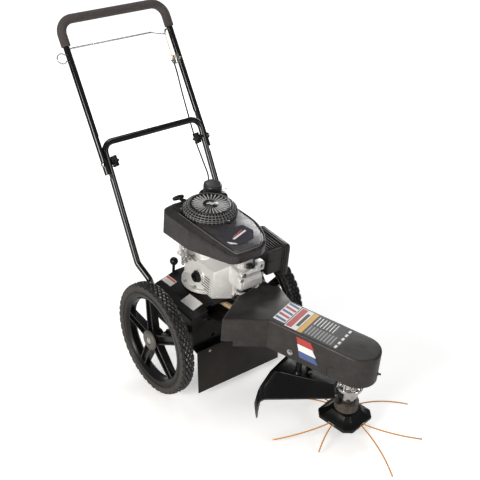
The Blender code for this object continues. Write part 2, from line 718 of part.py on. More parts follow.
def make_guard():
    """A fan-shaped plastic guard behind the head: plate, skirt, half collar and two posts."""
    angles = np.linspace(-GUARD_HALF_ANGLE, GUARD_HALF_ANGLE, 17)
    shares = (0.10, 0.4, 0.7, 0.94, 1.0)
    bm = bmesh.new()
    rows = []
    for angle in angles:
        reach = guard_rim(angle)
        height = guard_height(angle)
        row = []
        for share in shares:
            radius = share * reach
            row.append(bm.verts.new((radius * math.sin(angle), radius * math.cos(angle), height)))
        for part in (0.35, 1.0):
            turn = angle * (1 + (GUARD_SKIRT_SPREAD - 1) * part)
            radius = reach + GUARD_SKIRT_FLARE * math.sqrt(part)
            low = height - GUARD_SKIRT * part
            row.append(bm.verts.new((radius * math.sin(turn), radius * math.cos(turn), low)))
        rows.append(row)
    for first, second in zip(rows, rows[1:]):
        for k in range(len(first) - 1):
            bm.faces.new((first[k], first[k + 1], second[k + 1], second[k]))
    item = helper(mesh_from(bm))
    sheet = item.modifiers.new("sheet", "SOLIDIFY")
    sheet.thickness = GUARD_SHEET
    sheet.offset = 0.0
    fan = evaluated(item)
    low = GUARD_SEAT - GUARD_COLLAR
    start = math.radians(12)
    outer = arc((0, 0), GUARD_COLLAR_RADIUS, start, math.pi - start, 14)
    inner = arc((0, 0), HOUSING_RADIUS - 0.002, math.pi - start, start, 14)
    collar = outline_plate([outer + inner], low, GUARD_SEAT)
    posts = [rod((x, 0.150, GUARD_TOP), (x, 0.150, BEAM_BOTTOM - GAP), GUARD_POST_RADIUS, 12)
             for x in (-0.035, 0.035)]
    bore = rod((0, 0, low - 0.03), (0, 0, GUARD_SEAT + 0.03), HOUSING_RADIUS + FIT, 24)
    add("guard", cut(join(fan, collar, *posts), bore), BLACK_PLASTIC, arm)


def pulley(bore, below, above):
    """A V-belt pulley round Z, its groove at height zero."""
    half_belt = BELT_WIDTH / 2 + FIT
    lip = BELT_OUTER + PULLEY_LIP
    root = BELT_OUTER - BELT_THICKNESS - GAP
    profile = [(lip, above), (lip, half_belt), (root, half_belt), (root, -half_belt),
               (lip, -half_belt), (lip, -below), (bore, -below), (bore, above)]
    return turned(profile, 20, closed=True)


def make_belt_drive():
    half = PULLEY_WIDTH / 2
    belt_in_arm = BELT_Z - ARM_TOP_Z
    add("driven_pulley", pulley(SPINDLE_RADIUS + GAP, half, half), STEEL, head, (0, 0, belt_in_arm))
    add("drive_pulley", pulley(CRANKSHAFT_RADIUS + GAP, half, half), STEEL, crank,
        (0, 0, BELT_Z - DECK_TOP_Z))
    start = Vector((HEAD_X, HEAD_Y))
    end = Vector((CRANK_X, CRANK_Y))
    along = math.atan2(end.y - start.y, end.x - start.x)
    quarter = math.pi / 2

    def loop(radius):
        first = arc(start, radius, along + quarter, along + 3 * quarter, 12)
        return first + arc(end, radius, along - quarter, along + quarter, 12)

    belt = outline_plate([loop(BELT_OUTER), loop(BELT_OUTER - BELT_THICKNESS)],
                         BELT_Z - BELT_WIDTH / 2, BELT_Z + BELT_WIDTH / 2)
    add("drive_belt", belt, BELT_RUBBER, chassis)


def octagon(half, height):
    """A square with cut corners, its flats at the line exits."""
    corner = half * HEAD_CORNER
    flat = [(half, -corner), (half, corner), (corner, half), (-corner, half),
            (-half, corner), (-half, -corner), (-corner, -half), (corner, -half)]
    turn = Matrix.Rotation(HEAD_TURN - ARM_YAW, 2)
    return [(*(turn @ Vector(p)), height) for p in flat]


HEAD_TOP = HOUSING_BOTTOM - GAP - SPACER_HEIGHT - GAP
HEAD_BOTTOM = HEAD_TOP - HEAD_HEIGHT
LINE_HEIGHT = HEAD_BOTTOM + 0.0065
CUP_BOTTOM = (CUP_FLAT_RADIUS - HEAD_Y) * math.tan(TILT) - ARM_TOP_Z


def make_trimmer_head():
    """Shaft, spacer, head body with four slotted line anchors, and the skid cup below."""
    bm = bmesh.new()
    rings = [octagon(HEAD_HALF - 0.002, HEAD_BOTTOM), octagon(HEAD_HALF, HEAD_BOTTOM + 0.002),
             octagon(HEAD_HALF, HEAD_BOTTOM + HEAD_RIM),
             octagon(HEAD_SHOULDER[0], HEAD_BOTTOM + HEAD_SHOULDER[1]),
             octagon(HEAD_TOP_HALF, HEAD_TOP)]
    verts = [[bm.verts.new(p) for p in level] for level in rings]
    for low, high in zip(verts, verts[1:]):
        for i in range(8):
            bm.faces.new((low[i - 1], low[i], high[i], high[i - 1]))
    bm.faces.new(verts[0])
    bm.faces.new(verts[-1])
    body = mesh_from(bm)
    tools = []
    loop_radius = LINE_SPACING / 2
    half_height = LINE_RADIUS + 0.0006
    depth = LINE_POST_DEPTH + loop_radius + LINE_RADIUS + 0.001
    side = loop_radius + LINE_RADIUS + 0.0008
    for k in range(4):
        slot = block((HEAD_HALF - depth, -side, LINE_HEIGHT - half_height),
                     (HEAD_HALF + 0.01, side, LINE_HEIGHT + half_height))
        post = rod((HEAD_HALF - LINE_POST_DEPTH, 0, LINE_HEIGHT - 0.01),
                   (HEAD_HALF - LINE_POST_DEPTH, 0, LINE_HEIGHT + 0.01), LINE_POST_RADIUS, 8)
        turn = Matrix.Rotation(HEAD_TURN - ARM_YAW + k * math.pi / 2, 4, "Z")
        tools.append(shifted(cut(slot, post), turn=turn))
    recess = SPINDLE_RADIUS + GAP
    tools.append(rod((0, 0, HEAD_BOTTOM - 0.01), (0, 0, HEAD_TOP + 0.01), recess, 16))
    add("trimmer_head", cut(body, *tools), BLACK_PLASTIC, head)
    spacer_top = HOUSING_BOTTOM - GAP
    add("head_spacer", ring(SPACER_RADIUS, recess, spacer_top - SPACER_HEIGHT, spacer_top, 24),
        GREY_PAINT, head)
    shaft_bottom = HEAD_BOTTOM + 0.004
    add("spindle_shaft", rod((0, 0, shaft_bottom), (0, 0, SPINDLE_TOP), SPINDLE_RADIUS, 16),
        STEEL, head)
    top = HEAD_BOTTOM - GAP
    profile = [(0, top), (CUP_RADIUS, top), (CUP_RADIUS, CUP_BOTTOM + 0.014),
               (CUP_RADIUS - 0.003, CUP_BOTTOM + 0.006), (CUP_FLAT_RADIUS, CUP_BOTTOM),
               (0, CUP_BOTTOM)]
    plug = rod((0, 0, top - 0.004), (0, 0, shaft_bottom - GAP), SPINDLE_RADIUS - 0.002, 12)
    add("skid_cup", join(turned(profile, 20), plug), BLACK_PLASTIC, head)


# Free ends of the lines, as machine coordinates, two for each exit of the head
LINE_TIPS = [((0.240, -0.345, 0.030), (0.318, -0.556, 0.010)),
             ((0.000, -0.325, 0.046), (0.085, -0.300, 0.044)),
             ((-0.040, -0.556, 0.010), (-0.108, -0.436, 0.012)),
             ((0.232, -0.694, 0.007), (0.052, -0.752, 0.006))]


def make_lines():
    """Four thick nylon lines, each looped round its post with both ends pointing out."""
    to_head = (Matrix.Rotation(TILT, 4, "X") @ Matrix.Translation((HEAD_X, HEAD_Y, ARM_TOP_Z))
               @ Matrix.Rotation(ARM_YAW, 4, "Z")).inverted()
    face = HEAD_HALF
    loop_radius = LINE_SPACING / 2
    for k, tips in enumerate(LINE_TIPS):
        turn = Matrix.Rotation(HEAD_TURN - ARM_YAW + k * math.pi / 2, 4, "Z")
        post = face - LINE_POST_DEPTH
        half_turn = arc((post, 0), loop_radius, math.pi / 2, 3 * math.pi / 2, 8)
        loop = [turn @ Vector((x, y, LINE_HEIGHT)) for x, y in half_turn]
        ends = []
        for side, tip in zip((1, -1), tips):
            tip = to_head @ Vector(tip)
            mouth = turn @ Vector((face + 0.004, side * loop_radius, LINE_HEIGHT))
            length = (tip - mouth).length
            ahead = mouth + turn @ Vector((length / 2, 0, 0))
            knee = ((mouth + tip) / 2).lerp(ahead, LINE_BEND)
            count = round(length / LINE_STEP)
            ends.append([tuple(mouth.lerp(knee, t).lerp(knee.lerp(tip, t), t))
                         for t in np.linspace(0, 1, count + 1)])
        points = ends[0][::-1] + [tuple(p) for p in loop] + ends[1]
        add("trimmer_line_" + str(k + 1), tube(points, LINE_RADIUS, 2), LINE_NYLON, head)


def case_outline():
    """Plan of the crankcase round the crankshaft, with its slanting front face."""
    return [(-0.042, 0.060), (-0.042, -0.089), (0.010, -0.120), (0.062, -0.105),
            (0.075, -0.030), (0.060, 0.060), (0.0, 0.078)]


def make_engine_block():
    """Oil pan, crankcase with cylinder, and valve cover, all cast."""
    bore = rod((0, 0, -0.05), (0, 0, 0.2), CRANKSHAFT_RADIUS + FIT, 16)
    foot = outline_plate([case_outline()], GAP + 0.001, BASE_HEIGHT - 0.001)
    pan = turned([(0, BASE_HEIGHT), (BASE_RADIUS, BASE_HEIGHT), (BASE_RADIUS, GAP), (0, GAP)], 40)
    add("oil_pan", cut(join(pan, foot), bore), CAST_METAL, engine)
    bm = bmesh.new()
    bm.from_mesh(outline_plate([offset_outline(case_outline(), 0.001)], BASE_HEIGHT + GAP, CASE_TOP))
    bmesh.ops.dissolve_limit(bm, angle_limit=math.radians(1), verts=bm.verts[:], edges=bm.edges[:])
    rim = [e for e in bm.edges if min(v.co.z for v in e.verts) > CASE_TOP - 1e-5]
    bmesh.ops.bevel(bm, geom=rim, offset=0.006, segments=2, affect="EDGES", profile=0.5)
    left_x = case_outline()[0][0]
    slope = math.atan2(CASE_TOP - CASE_LEFT_TOP, CASE_RIDGE_X - left_x)
    above = shifted(block((-0.2, -0.2, 0), (0, 0.2, 0.1)), (CASE_RIDGE_X, 0, CASE_TOP),
                    Matrix.Rotation(-slope, 4, "Y"))
    case = cut(mesh_from(bm), above)
    skirt = turned([(0, 0.026), (0.050, 0.026), (0.066, BASE_HEIGHT + GAP), (0, BASE_HEIGHT + GAP)], 32)
    low = CASE_LEFT_TOP - 0.01
    tower = turned([(0, TOWER_TOP), (TOWER_RADIUS - 0.006, TOWER_TOP), (TOWER_RADIUS, low), (0, low)], 24)
    cylinder = block((0.000, -0.156, 0.058), (0.072, -0.090, 0.118), 0.004)
    oil_x, oil_y, oil_z = OIL_BOSS
    oil_boss = rod((oil_x + 0.014, oil_y, oil_z), (oil_x, oil_y, oil_z), OIL_CAP_RADIUS + 0.003, 20)
    tank_leg = block((0.036, 0.040, CASE_LEFT_TOP - 0.02), (0.070, 0.100, TANK_BOTTOM - GAP))
    plug_boss = rod((0.030, -0.150, 0.130), (0.030, -0.120, 0.112), 0.011, 12)
    intake = block((0.050, -0.090, 0.060), (PORT_FACE, -0.046, 0.096))
    exhaust = block((0.050, -0.002, 0.044), (PORT_FACE, 0.036, 0.072))
    front_post = rod((0.020, -0.130, 0.110), (0.020, -0.130, 0.2422), 0.007, 12)
    rear_post = rod((-0.052, 0.066, 0.080), (-0.052, 0.066, 0.2336), 0.006, 12)
    rear_lug = block((-0.060, 0.056, 0.076), (-0.024, 0.075, 0.084))
    x, y, z = GOVERNOR_PIVOT
    governor_boss = [rod((x, y, z - 0.004), (x, y, z + 0.004), LEVER_PIN_RADIUS, 10),
                     block((x - 0.006, y - 0.010, z - 0.006), (-0.030, y + 0.010, z - 0.001 - GAP))]
    x, y, z = BRAKE_PIVOT
    brake_boss = [rod((x, y, z - 0.004), (x, y, z + 0.006), LEVER_PIN_RADIUS, 10),
                  block((x - 0.008, 0.066, z - 0.012), (x + 0.008, y + 0.008, z - GAP))]
    body = join(case, skirt, tower, cylinder, oil_boss, tank_leg, plug_boss, intake, exhaust,
                front_post, rear_post, rear_lug, *governor_boss, *brake_boss)
    add("crankcase", cut(body, bore), CAST_METAL, engine)
    cover = block((-0.010, -0.176, 0.063), (0.078, -0.156 - GAP, 0.109), 0.006, 2)
    add("valve_cover", cover, CAST_METAL, engine)


def make_engine_trim():
    """Small pieces on the outside of the engine."""
    oil_cap = join(rod((-GAP, 0, 0), (-0.010, 0, 0), OIL_CAP_RADIUS, 20),
                   block((-0.014, -0.0095, -0.0025), (-0.009, 0.0095, 0.0025), 0.001))
    add("oil_filler_cap", oil_cap, BLACK_PLASTIC, engine, OIL_BOSS)
    start = Vector((0.030, -0.150, 0.130))
    along = (start - Vector((0.030, -0.120, 0.112))).normalized()
    body = join(rod(start + along * GAP, start + along * 0.008, 0.008, 6),
                rod(start + along * 0.004, start + along * 0.022, 0.0045, 12))
    add("spark_plug", body, STEEL, engine)
    boot = cut(rod(start + along * 0.0095, start + along * 0.034, 0.0095, 12),
               rod(start + along * 0.005, start + along * 0.0225, 0.0045 + GAP, 12))
    add("spark_plug_boot", boot, BLACK_PLASTIC, engine)
    flange = block((PORT_FACE + GAP, -0.004, 0.040), (0.084, 0.040, 0.076))
    muffler = join(block((0.080, -0.010, 0.030), (0.132, 0.060, 0.092), 0.008, 2), flange)
    add("muffler", muffler, STEEL, engine)
    throat = rod((PORT_FACE + GAP, -0.068, 0.078), (CLEANER_X - GAP, -0.068, 0.078), 0.013, 16)
    bowl = rod((0.094, -0.068, 0.078), (0.094, -0.068, 0.046), 0.012, 16)
    add("carburettor", join(throat, bowl), CAST_METAL, engine)


def make_air_cleaner():
    """An open box on the carburettor and a rounded cover that pulls off sideways."""
    low = (CLEANER_X, -0.149, 0.062)
    high = (CLEANER_COVER_X - GAP, -0.029, 0.145)
    wall = 0.0025
    hollow = block((low[0] + wall, low[1] + wall, low[2] + wall),
                   (high[0] + 0.01, high[1] - wall, high[2] - wall))
    port = rod((low[0] - 0.01, -0.068, 0.078), (low[0] + 0.01, -0.068, 0.078), 0.008, 12)
    add("air_cleaner_base", cut(block(low, high, 0.003), hollow, port), ENGINE_PLASTIC, engine)
    shell = block((CLEANER_COVER_X, -0.157, 0.040), (CLEANER_COVER_X + 0.023, -0.020, 0.153), 0.007, 2)
    recess = block((CLEANER_COVER_X - 0.01, -0.146, 0.051), (CLEANER_COVER_X + 0.018, -0.032, 0.142))
    add("air_cleaner_cover", cut(shell, recess), ENGINE_PLASTIC, engine)
    element = block((low[0] + 0.008, low[1] + 0.008, low[2] + wall + GAP),
                    (high[0] - 0.004, high[1] - 0.008, high[2] - 0.008), 0.003)
    add("air_filter", element, FOAM, engine)


def engine_cover_outline():
    """Plan of the engine cover round the crankshaft, anticlockwise."""
    return [(0.034, -0.219), (0.059, -0.184), (0.080, -0.119), (0.082, -0.004), (0.069, 0.041),
            (0.036, 0.076), (0.012, 0.105), (-0.060, 0.108), (-0.094, 0.100), (-0.107, 0.082),
            COVER_KNEE, (-0.099, -0.150), (-0.092, -0.222), (-0.078, -0.237), (0.006, -0.236)]


def make_engine_cover():
    """The large plastic shroud, open below, with a sloping top and a bent underside."""
    outline = engine_cover_outline()

    def tilted(mesh, drop):
        for vertex in mesh.vertices:
            low = cover_bottom_at(vertex.co.y)
            high = cover_top_at(vertex.co.y) - drop
            vertex.co.z = low + vertex.co.z * (high - low)
        return mesh

    bm = bmesh.new()
    bm.from_mesh(outline_plate([outline], 0.0, 1.0))
    bmesh.ops.dissolve_limit(bm, angle_limit=math.radians(1), verts=bm.verts[:], edges=bm.edges[:])
    solid = tilted(mesh_from(bm), 0)
    bm = bmesh.new()
    bm.from_mesh(solid)
    rim = [e for e in bm.edges if min(v.co.z for v in e.verts) > COVER_TOP_REAR - 1e-5]
    bmesh.ops.bevel(bm, geom=rim, offset=COVER_ROUND, segments=2, affect="EDGES", profile=0.5)
    solid = mesh_from(bm)
    hollow = tilted(outline_plate([offset_outline(outline, COVER_WALL)], -0.5, 1.0), COVER_ROUND)
    opening = rod((0, 0, 0.2), (0, 0, 0.3), REEL_RADIUS + 0.014, 28)
    seat = rod((0, 0, RECOIL_SEAT - 0.026), (0, 0, RECOIL_SEAT - GAP), RECOIL_RADIUS - 0.010, 40,
               RECOIL_RADIUS + 0.002)
    add("engine_cover", cut(join(solid, seat), hollow, opening), ENGINE_PLASTIC, engine)


def cover_top_at(y):
    """Height of the engine cover's top at a distance behind the crankshaft."""
    outline = engine_cover_outline()
    front = min(p[1] for p in outline)
    rear = max(p[1] for p in outline)
    return COVER_TOP_REAR + (rear - y) / (rear - front) * (COVER_TOP_FRONT - COVER_TOP_REAR)


def cover_bottom_at(y):
    """Height of the engine cover's lower edge, nearly level up to its knee and rising in front."""
    outline = engine_cover_outline()
    front = min(p[1] for p in outline)
    rear = max(p[1] for p in outline)
    knee = COVER_KNEE[1]
    if y > knee:
        share = (rear - y) / (rear - knee)
        return COVER_BOTTOM_REAR + share * (COVER_BOTTOM_KNEE - COVER_BOTTOM_REAR)
    share = (knee - y) / (knee - front)
    return COVER_BOTTOM_KNEE + share * (COVER_BOTTOM_FRONT - COVER_BOTTOM_KNEE)


RECOIL_SEAT = cover_top_at(-RECOIL_RADIUS) + GAP
REEL_TOP = RECOIL_TOP - RECOIL_WALL - 0.002


def make_recoil_starter():
    """Slotted housing, rope reel on its post, rope and T grip."""
    wall = RECOIL_WALL
    top = RECOIL_TOP
    profile = [(0, top), (RECOIL_DISC_RADIUS, top), (RECOIL_DISC_RADIUS + 0.006, top - 0.004),
               (RECOIL_RADIUS - 0.004, top - 0.010), (RECOIL_RADIUS, RECOIL_SEAT + 0.004),
               (RECOIL_RADIUS, RECOIL_SEAT), (RECOIL_RADIUS - wall, RECOIL_SEAT),
               (RECOIL_RADIUS - wall - 0.004, top - 0.010 - wall),
               (RECOIL_DISC_RADIUS + 0.004, top - 0.004 - wall), (RECOIL_DISC_RADIUS, top - wall),
               (0, top - wall)]
    shell = turned(profile, 32)
    post = rod((0, 0, REEL_TOP - REEL_HEIGHT), (0, 0, top - 0.001), 0.006, 12)
    shell = join(shell, post)
    slots = []
    for k in range(RECOIL_SLOTS):
        turn = Matrix.Rotation(k * math.tau / RECOIL_SLOTS, 4, "Z")
        slot = block((0.026, -0.0024, top - 0.006), (0.052, 0.0024, top + 0.006))
        slots.append(shifted(slot, turn=turn))
    rope_x = -REEL_RADIUS - GAP - ROPE_RADIUS
    rope_z = REEL_TOP - REEL_HEIGHT / 2
    mouth = block((rope_x - 0.004, 0.030, RECOIL_SEAT - 0.001), (rope_x + 0.004, 0.090, rope_z + 0.002))
    add("recoil_housing", cut(shell, *slots, mouth), BLACK_PLASTIC, engine)
    reel_profile = [(REEL_RADIUS, REEL_TOP), (REEL_RADIUS, REEL_TOP - REEL_HEIGHT),
                    (0.006 + FIT, REEL_TOP - REEL_HEIGHT), (0.006 + FIT, REEL_TOP)]
    add("starter_reel", turned(reel_profile, 24, closed=True), STEEL, engine)
    end = GRIP_Y - GRIP_RADIUS - GAP
    start = 0.004
    fall = (GRIP_HEIGHT - rope_z) / (GRIP_Y - start)
    rope = [(rope_x, y, rope_z + fall * (y - start)) for y in np.linspace(start, end, 9)]
    add("starter_rope", tube(rope, ROPE_RADIUS, 2), FOAM, engine)
    bar = tube([(-GRIP_LENGTH / 2, 0, 0), (-GRIP_LENGTH / 2 + 0.004, 0, 0), (0, 0, 0),
                (GRIP_LENGTH / 2 - 0.004, 0, 0), (GRIP_LENGTH / 2, 0, 0)], GRIP_RADIUS, 3)
    add("starter_grip", bar, BLACK_PLASTIC, engine, (rope_x, GRIP_Y, GRIP_HEIGHT))


def make_rotating_core():
    """Crankshaft, flywheel and what turns with them."""
    low = BELT_Z - DECK_TOP_Z - PULLEY_WIDTH / 2 - 0.003
    shaft_top = FLYWHEEL_BOTTOM + FLYWHEEL_HEIGHT + 0.010
    add("crankshaft", rod((0, 0, low), (0, 0, shaft_top), CRANKSHAFT_RADIUS, 16), STEEL, crank)
    rim = FLYWHEEL_RADIUS
    base = FLYWHEEL_BOTTOM
    bore = CRANKSHAFT_RADIUS + GAP
    profile = [(rim, base + FLYWHEEL_HEIGHT), (rim, base), (rim - 0.012, base), (rim - 0.016, base + 0.012),
               (0.026, base + 0.012), (0.024, base), (bore, base), (bore, base + 0.020),
               (rim - 0.012, base + 0.020), (rim - 0.010, base + FLYWHEEL_HEIGHT)]
    add("flywheel", turned(profile, 24, closed=True), CAST_METAL, crank)


def make_fuel_tank():
    """Tank behind the cover, with its screw cap."""
    cap_x = 0.076
    cap_y = 0.092
    body = block((0.048, 0.060, TANK_BOTTOM), (0.122, 0.134, TANK_TOP), 0.016, 2)
    neck = rod((cap_x, cap_y, TANK_TOP - 0.004), (cap_x, cap_y, TANK_TOP + 0.016), 0.020, 20)
    throat = rod((cap_x, cap_y, TANK_TOP - 0.030), (cap_x, cap_y, TANK_TOP + 0.030), 0.014, 16)
    hollow = block((0.052, 0.064, TANK_BOTTOM + 0.004), (0.118, 0.130, TANK_TOP - 0.004), 0.014, 1)
    add("fuel_tank", cut(join(body, neck), hollow, throat), BLACK_PLASTIC, engine)
    low = TANK_TOP + 0.0015
    high = low + FUEL_CAP_HEIGHT
    radius = FUEL_CAP_RADIUS
    profile = [(0, high), (radius - 0.005, high), (radius, high - 0.004), (radius, low),
               (0.020 + FIT, low), (0.020 + FIT, TANK_TOP + 0.016 + GAP), (0, TANK_TOP + 0.016 + GAP)]
    add("fuel_cap", turned(profile, 24), BLACK_PLASTIC, engine, (cap_x, cap_y, 0))


def make_governor():
    """Throttle lever of the governor, on its pin on the right side of the engine."""
    hole = rod((0, 0, -0.01), (0, 0, 0.01), LEVER_PIN_RADIUS + GAP, 10)
    outline = arc((0, 0), 0.006, math.pi / 2, 3 * math.pi / 2, 6) + [(0.0, -0.006), (0.002, -0.028),
                                                                     (0.008, -0.028), (0.007, 0.004)]
    lever = cut(outline_plate([outline], -0.001, 0.001), hole)
    add("governor_lever", lever, STEEL, engine, GOVERNOR_PIVOT)


def make_brake_lever():
    """Lever behind the crankcase that the control cable pulls."""
    outline = arc((0, 0), 0.007, -math.pi / 2, math.pi / 2, 6) + [(-0.030, 0.005), (-0.030, -0.005)]
    hole = rod((0, 0, -0.01), (0, 0, 0.01), LEVER_PIN_RADIUS + GAP, 10)
    add("brake_lever", cut(outline_plate([outline], 0.0, 0.003), hole), STEEL, engine, BRAKE_PIVOT)


def make_lower_handle():
    """One bent tube: both feet on the deck's sides, legs and the cross bar."""
    foot_x = DECK_HALF_WIDTH + TUBE_RADIUS + GAP
    lower_top_y = 0.2920
    lower_top_z = 0.7110
    knee = (0.132, 0.368)
    corners = []
    for side in (-1, 1):
        leg = [(side * foot_x, 0.045, 0.262), (side * foot_x, 0.087, 0.330),
               (side * LOWER_HALF, *knee), (side * LOWER_HALF, lower_top_y, lower_top_z)]
        corners += leg if side < 0 else leg[::-1]
    first = bent(corners[0:3], 0.030, 2)[:-1]
    middle = bent([first[-1]] + corners[2:6] + [bent(corners[5:8], 0.030, 2)[1]], 0.032, 5)[1:-1]
    last = bent(corners[5:8], 0.030, 2)[1:]
    body = tube([tuple(p) for p in first + middle + last], TUBE_RADIUS, 3)
    tools = []
    along = Vector((0, lower_top_y - knee[0], lower_top_z - knee[1])).normalized()
    for side in (-1, 1):
        flat = block((0, -0.02, -LAP_BELOW), (0.02, 0.02, 0.052))
        turn = Matrix.Rotation(-math.atan2(along.y, along.z), 4, "X")
        if side < 0:
            flat = shifted(flat, (-0.02, 0, 0))
        tools.append(shifted(flat, (side * (LAP_PLANE - GAP / 2), FOLD_Y, FOLD_Z), turn))
        tools.append(rod((side * 0.1, FOLD_Y, FOLD_Z), (side * 0.3, FOLD_Y, FOLD_Z),
                         BOLT_RADIUS + GAP, 12))
    add("lower_handle", cut(body, *tools), BLACK_PAINT, machine)


def upper_path(start, end_height):
    """The bent path of the upper handle above a height, in its own frame."""
    y = UPPER_OFFSET
    corners = [(-UPPER_HALF, y, start), (-UPPER_HALF, y, end_height), (UPPER_HALF, y, end_height),
               (UPPER_HALF, y, start)]
    return [tuple(p) for p in bent(corners, BEND_RADIUS, 7)]


def make_upper_handle():
    """The bent upper tube with its foam grip."""
    body = tube(upper_path(-UPPER_TAIL, UPPER_LENGTH), TUBE_RADIUS, 3)
    tools = []
    for side in (-1, 1):
        low = (-0.02 if side > 0 else 0.0, -0.03, -UPPER_TAIL - 0.02)
        high = (0.0 if side > 0 else 0.02, 0.03, LAP_ABOVE)
        tools.append(shifted(block(low, high), (side * (LAP_PLANE + GAP / 2), 0, 0)))
        tools.append(rod((side * 0.15, 0, 0), (side * 0.25, 0, 0), BOLT_RADIUS + GAP, 12))
        tools.append(rod((side * 0.15, UPPER_OFFSET, BAIL_PIVOT),
                         (side * (UPPER_HALF + 0.004), UPPER_OFFSET, BAIL_PIVOT),
                         BAIL_RADIUS + GAP, 12))
    add("upper_handle", cut(body, *tools), BLACK_PAINT, fold)
    path = upper_path(FOAM_END, UPPER_LENGTH)
    sleeve = tube(path, FOAM_RADIUS, 3)
    longer = upper_path(FOAM_END - 0.02, UPPER_LENGTH)
    add("foam_grip", cut(sleeve, tube(longer, TUBE_RADIUS + GAP, 3)), FOAM, fold)


def make_handle_clamps():
    """A carriage bolt through both tubes and a lobed knob on its inner end, on each side."""
    inner = LOWER_HALF - TUBE_RADIUS - GAP
    outer = UPPER_HALF + TUBE_RADIUS + GAP
    for name, side in (("right", -1), ("left", 1)):
        shank = rod((side * (inner - 0.017), 0, 0), (side * (outer + 0.002), 0, 0), BOLT_RADIUS, 12)
        cap = rod((side * outer, 0, 0), (side * (outer + 0.004), 0, 0), 0.009, 16, 0.006)
        add("handle_bolt_" + name, join(shank, cap), STEEL, fold)
        angles = np.linspace(0, math.tau, KNOB_LOBES * 6, endpoint=False)
        outline = [((KNOB_RADIUS - 0.003 + 0.003 * math.cos(KNOB_LOBES * a)) * math.cos(a),
                    (KNOB_RADIUS - 0.003 + 0.003 * math.cos(KNOB_LOBES * a)) * math.sin(a))
                   for a in angles]
        body = join(outline_plate([outline], 0.007, 0.021), rod((0, 0, 0), (0, 0, 0.010), 0.010, 16))
        body = cut(body, rod((0, 0, -0.01), (0, 0, 0.018), BOLT_RADIUS + GAP, 12))
        axis = frame("knob_axis_" + name, machine, (side * inner, FOLD_Y, FOLD_Z))
        add("handle_knob_" + name, body, BLACK_PLASTIC, axis, rotation=(0, -side * math.pi / 2, 0))


def bail_point(x, reach, drop=0.0):
    """A point of the released bail, seen from its hinge: reach forward, drop towards the cable."""
    forward = Vector((0, -math.cos(BAIL_REST), math.sin(BAIL_REST)))
    down = Vector((0, -math.cos(UPPER_ANGLE), -math.sin(UPPER_ANGLE)))
    world = forward * reach + down * drop
    local = Matrix.Rotation(math.pi / 2 - UPPER_ANGLE, 3, "X") @ world
    return Vector((x, local.y, local.z))


BAIL_EYE = (0.149, 0.022, 0.013)


def make_bail():
    """A wire bail whose ends pivot in the legs, the cable eye near its left end."""
    pin = UPPER_HALF - 0.004
    corners = [bail_point(-pin, 0), bail_point(-0.168, 0), bail_point(-0.128, BAIL_REACH),
               bail_point(0.072, BAIL_REACH), bail_point(0.128, 0.034, 0.010),
               bail_point(BAIL_EYE[0], BAIL_EYE[1], BAIL_EYE[2]), bail_point(0.168, 0),
               bail_point(pin, 0)]
    body = tube([tuple(p) for p in bent(corners, 0.006, 3)], BAIL_RADIUS, 2)
    add("bail", body, STEEL, bail_axis)


BRACKET_HEIGHT = 0.262


def make_cable_bracket():
    """A clip on the left leg that holds the end of the cable's sheath."""
    inner = UPPER_HALF - TUBE_RADIUS - 0.010
    body = block((inner, UPPER_OFFSET - 0.009, BRACKET_HEIGHT - 0.014),
                 (UPPER_HALF + 0.002, UPPER_OFFSET + 0.009, BRACKET_HEIGHT + 0.014), 0.001)
    saddle = rod((UPPER_HALF, UPPER_OFFSET, BRACKET_HEIGHT - 0.03),
                 (UPPER_HALF, UPPER_OFFSET, BRACKET_HEIGHT + 0.03), TUBE_RADIUS + 0.0006, 24)
    ear = block((inner - 0.011, UPPER_OFFSET - 0.006, BRACKET_HEIGHT - 0.004),
                (inner + 0.002, UPPER_OFFSET + 0.006, BRACKET_HEIGHT))
    hole = rod((inner - 0.006, UPPER_OFFSET, BRACKET_HEIGHT - 0.02),
               (inner - 0.006, UPPER_OFFSET, BRACKET_HEIGHT + 0.02), 0.0012 + GAP, 10)
    add("cable_bracket", cut(join(body, ear), saddle, hole), GREY_PAINT, fold)
    return inner - 0.006


def make_rope_guide():
    """A wire eye on the outer side of the right leg."""
    start = -UPPER_HALF - TUBE_RADIUS - GAP
    middle = BAIL_PIVOT - 0.025
    mouth = math.radians(38)
    center = start - ROPE_GUIDE_END - ROPE_GUIDE_RADIUS * math.cos(mouth)
    loop = arc((center, middle), ROPE_GUIDE_RADIUS, mouth, math.tau - mouth, 14)
    points = [(start, loop[0][1])] + loop + [(start, loop[-1][1])]
    points = [(x, UPPER_OFFSET, z) for x, z in points]
    add("rope_guide", tube(points, 0.0019, 2), STEEL, fold)


# Route of the control cable below its bracket, in machine coordinates
CABLE_ROUTE = [(0.1591, 0.3528, 0.7859), (0.1596, 0.3195, 0.7107), (0.1628, 0.3040, 0.6665),
               (0.1662, 0.2879, 0.6227), (0.1703, 0.2625, 0.5731), (0.1730, 0.2380, 0.5200),
               (0.1450, 0.2220, 0.4700), (0.0850, 0.1900, 0.4350)]


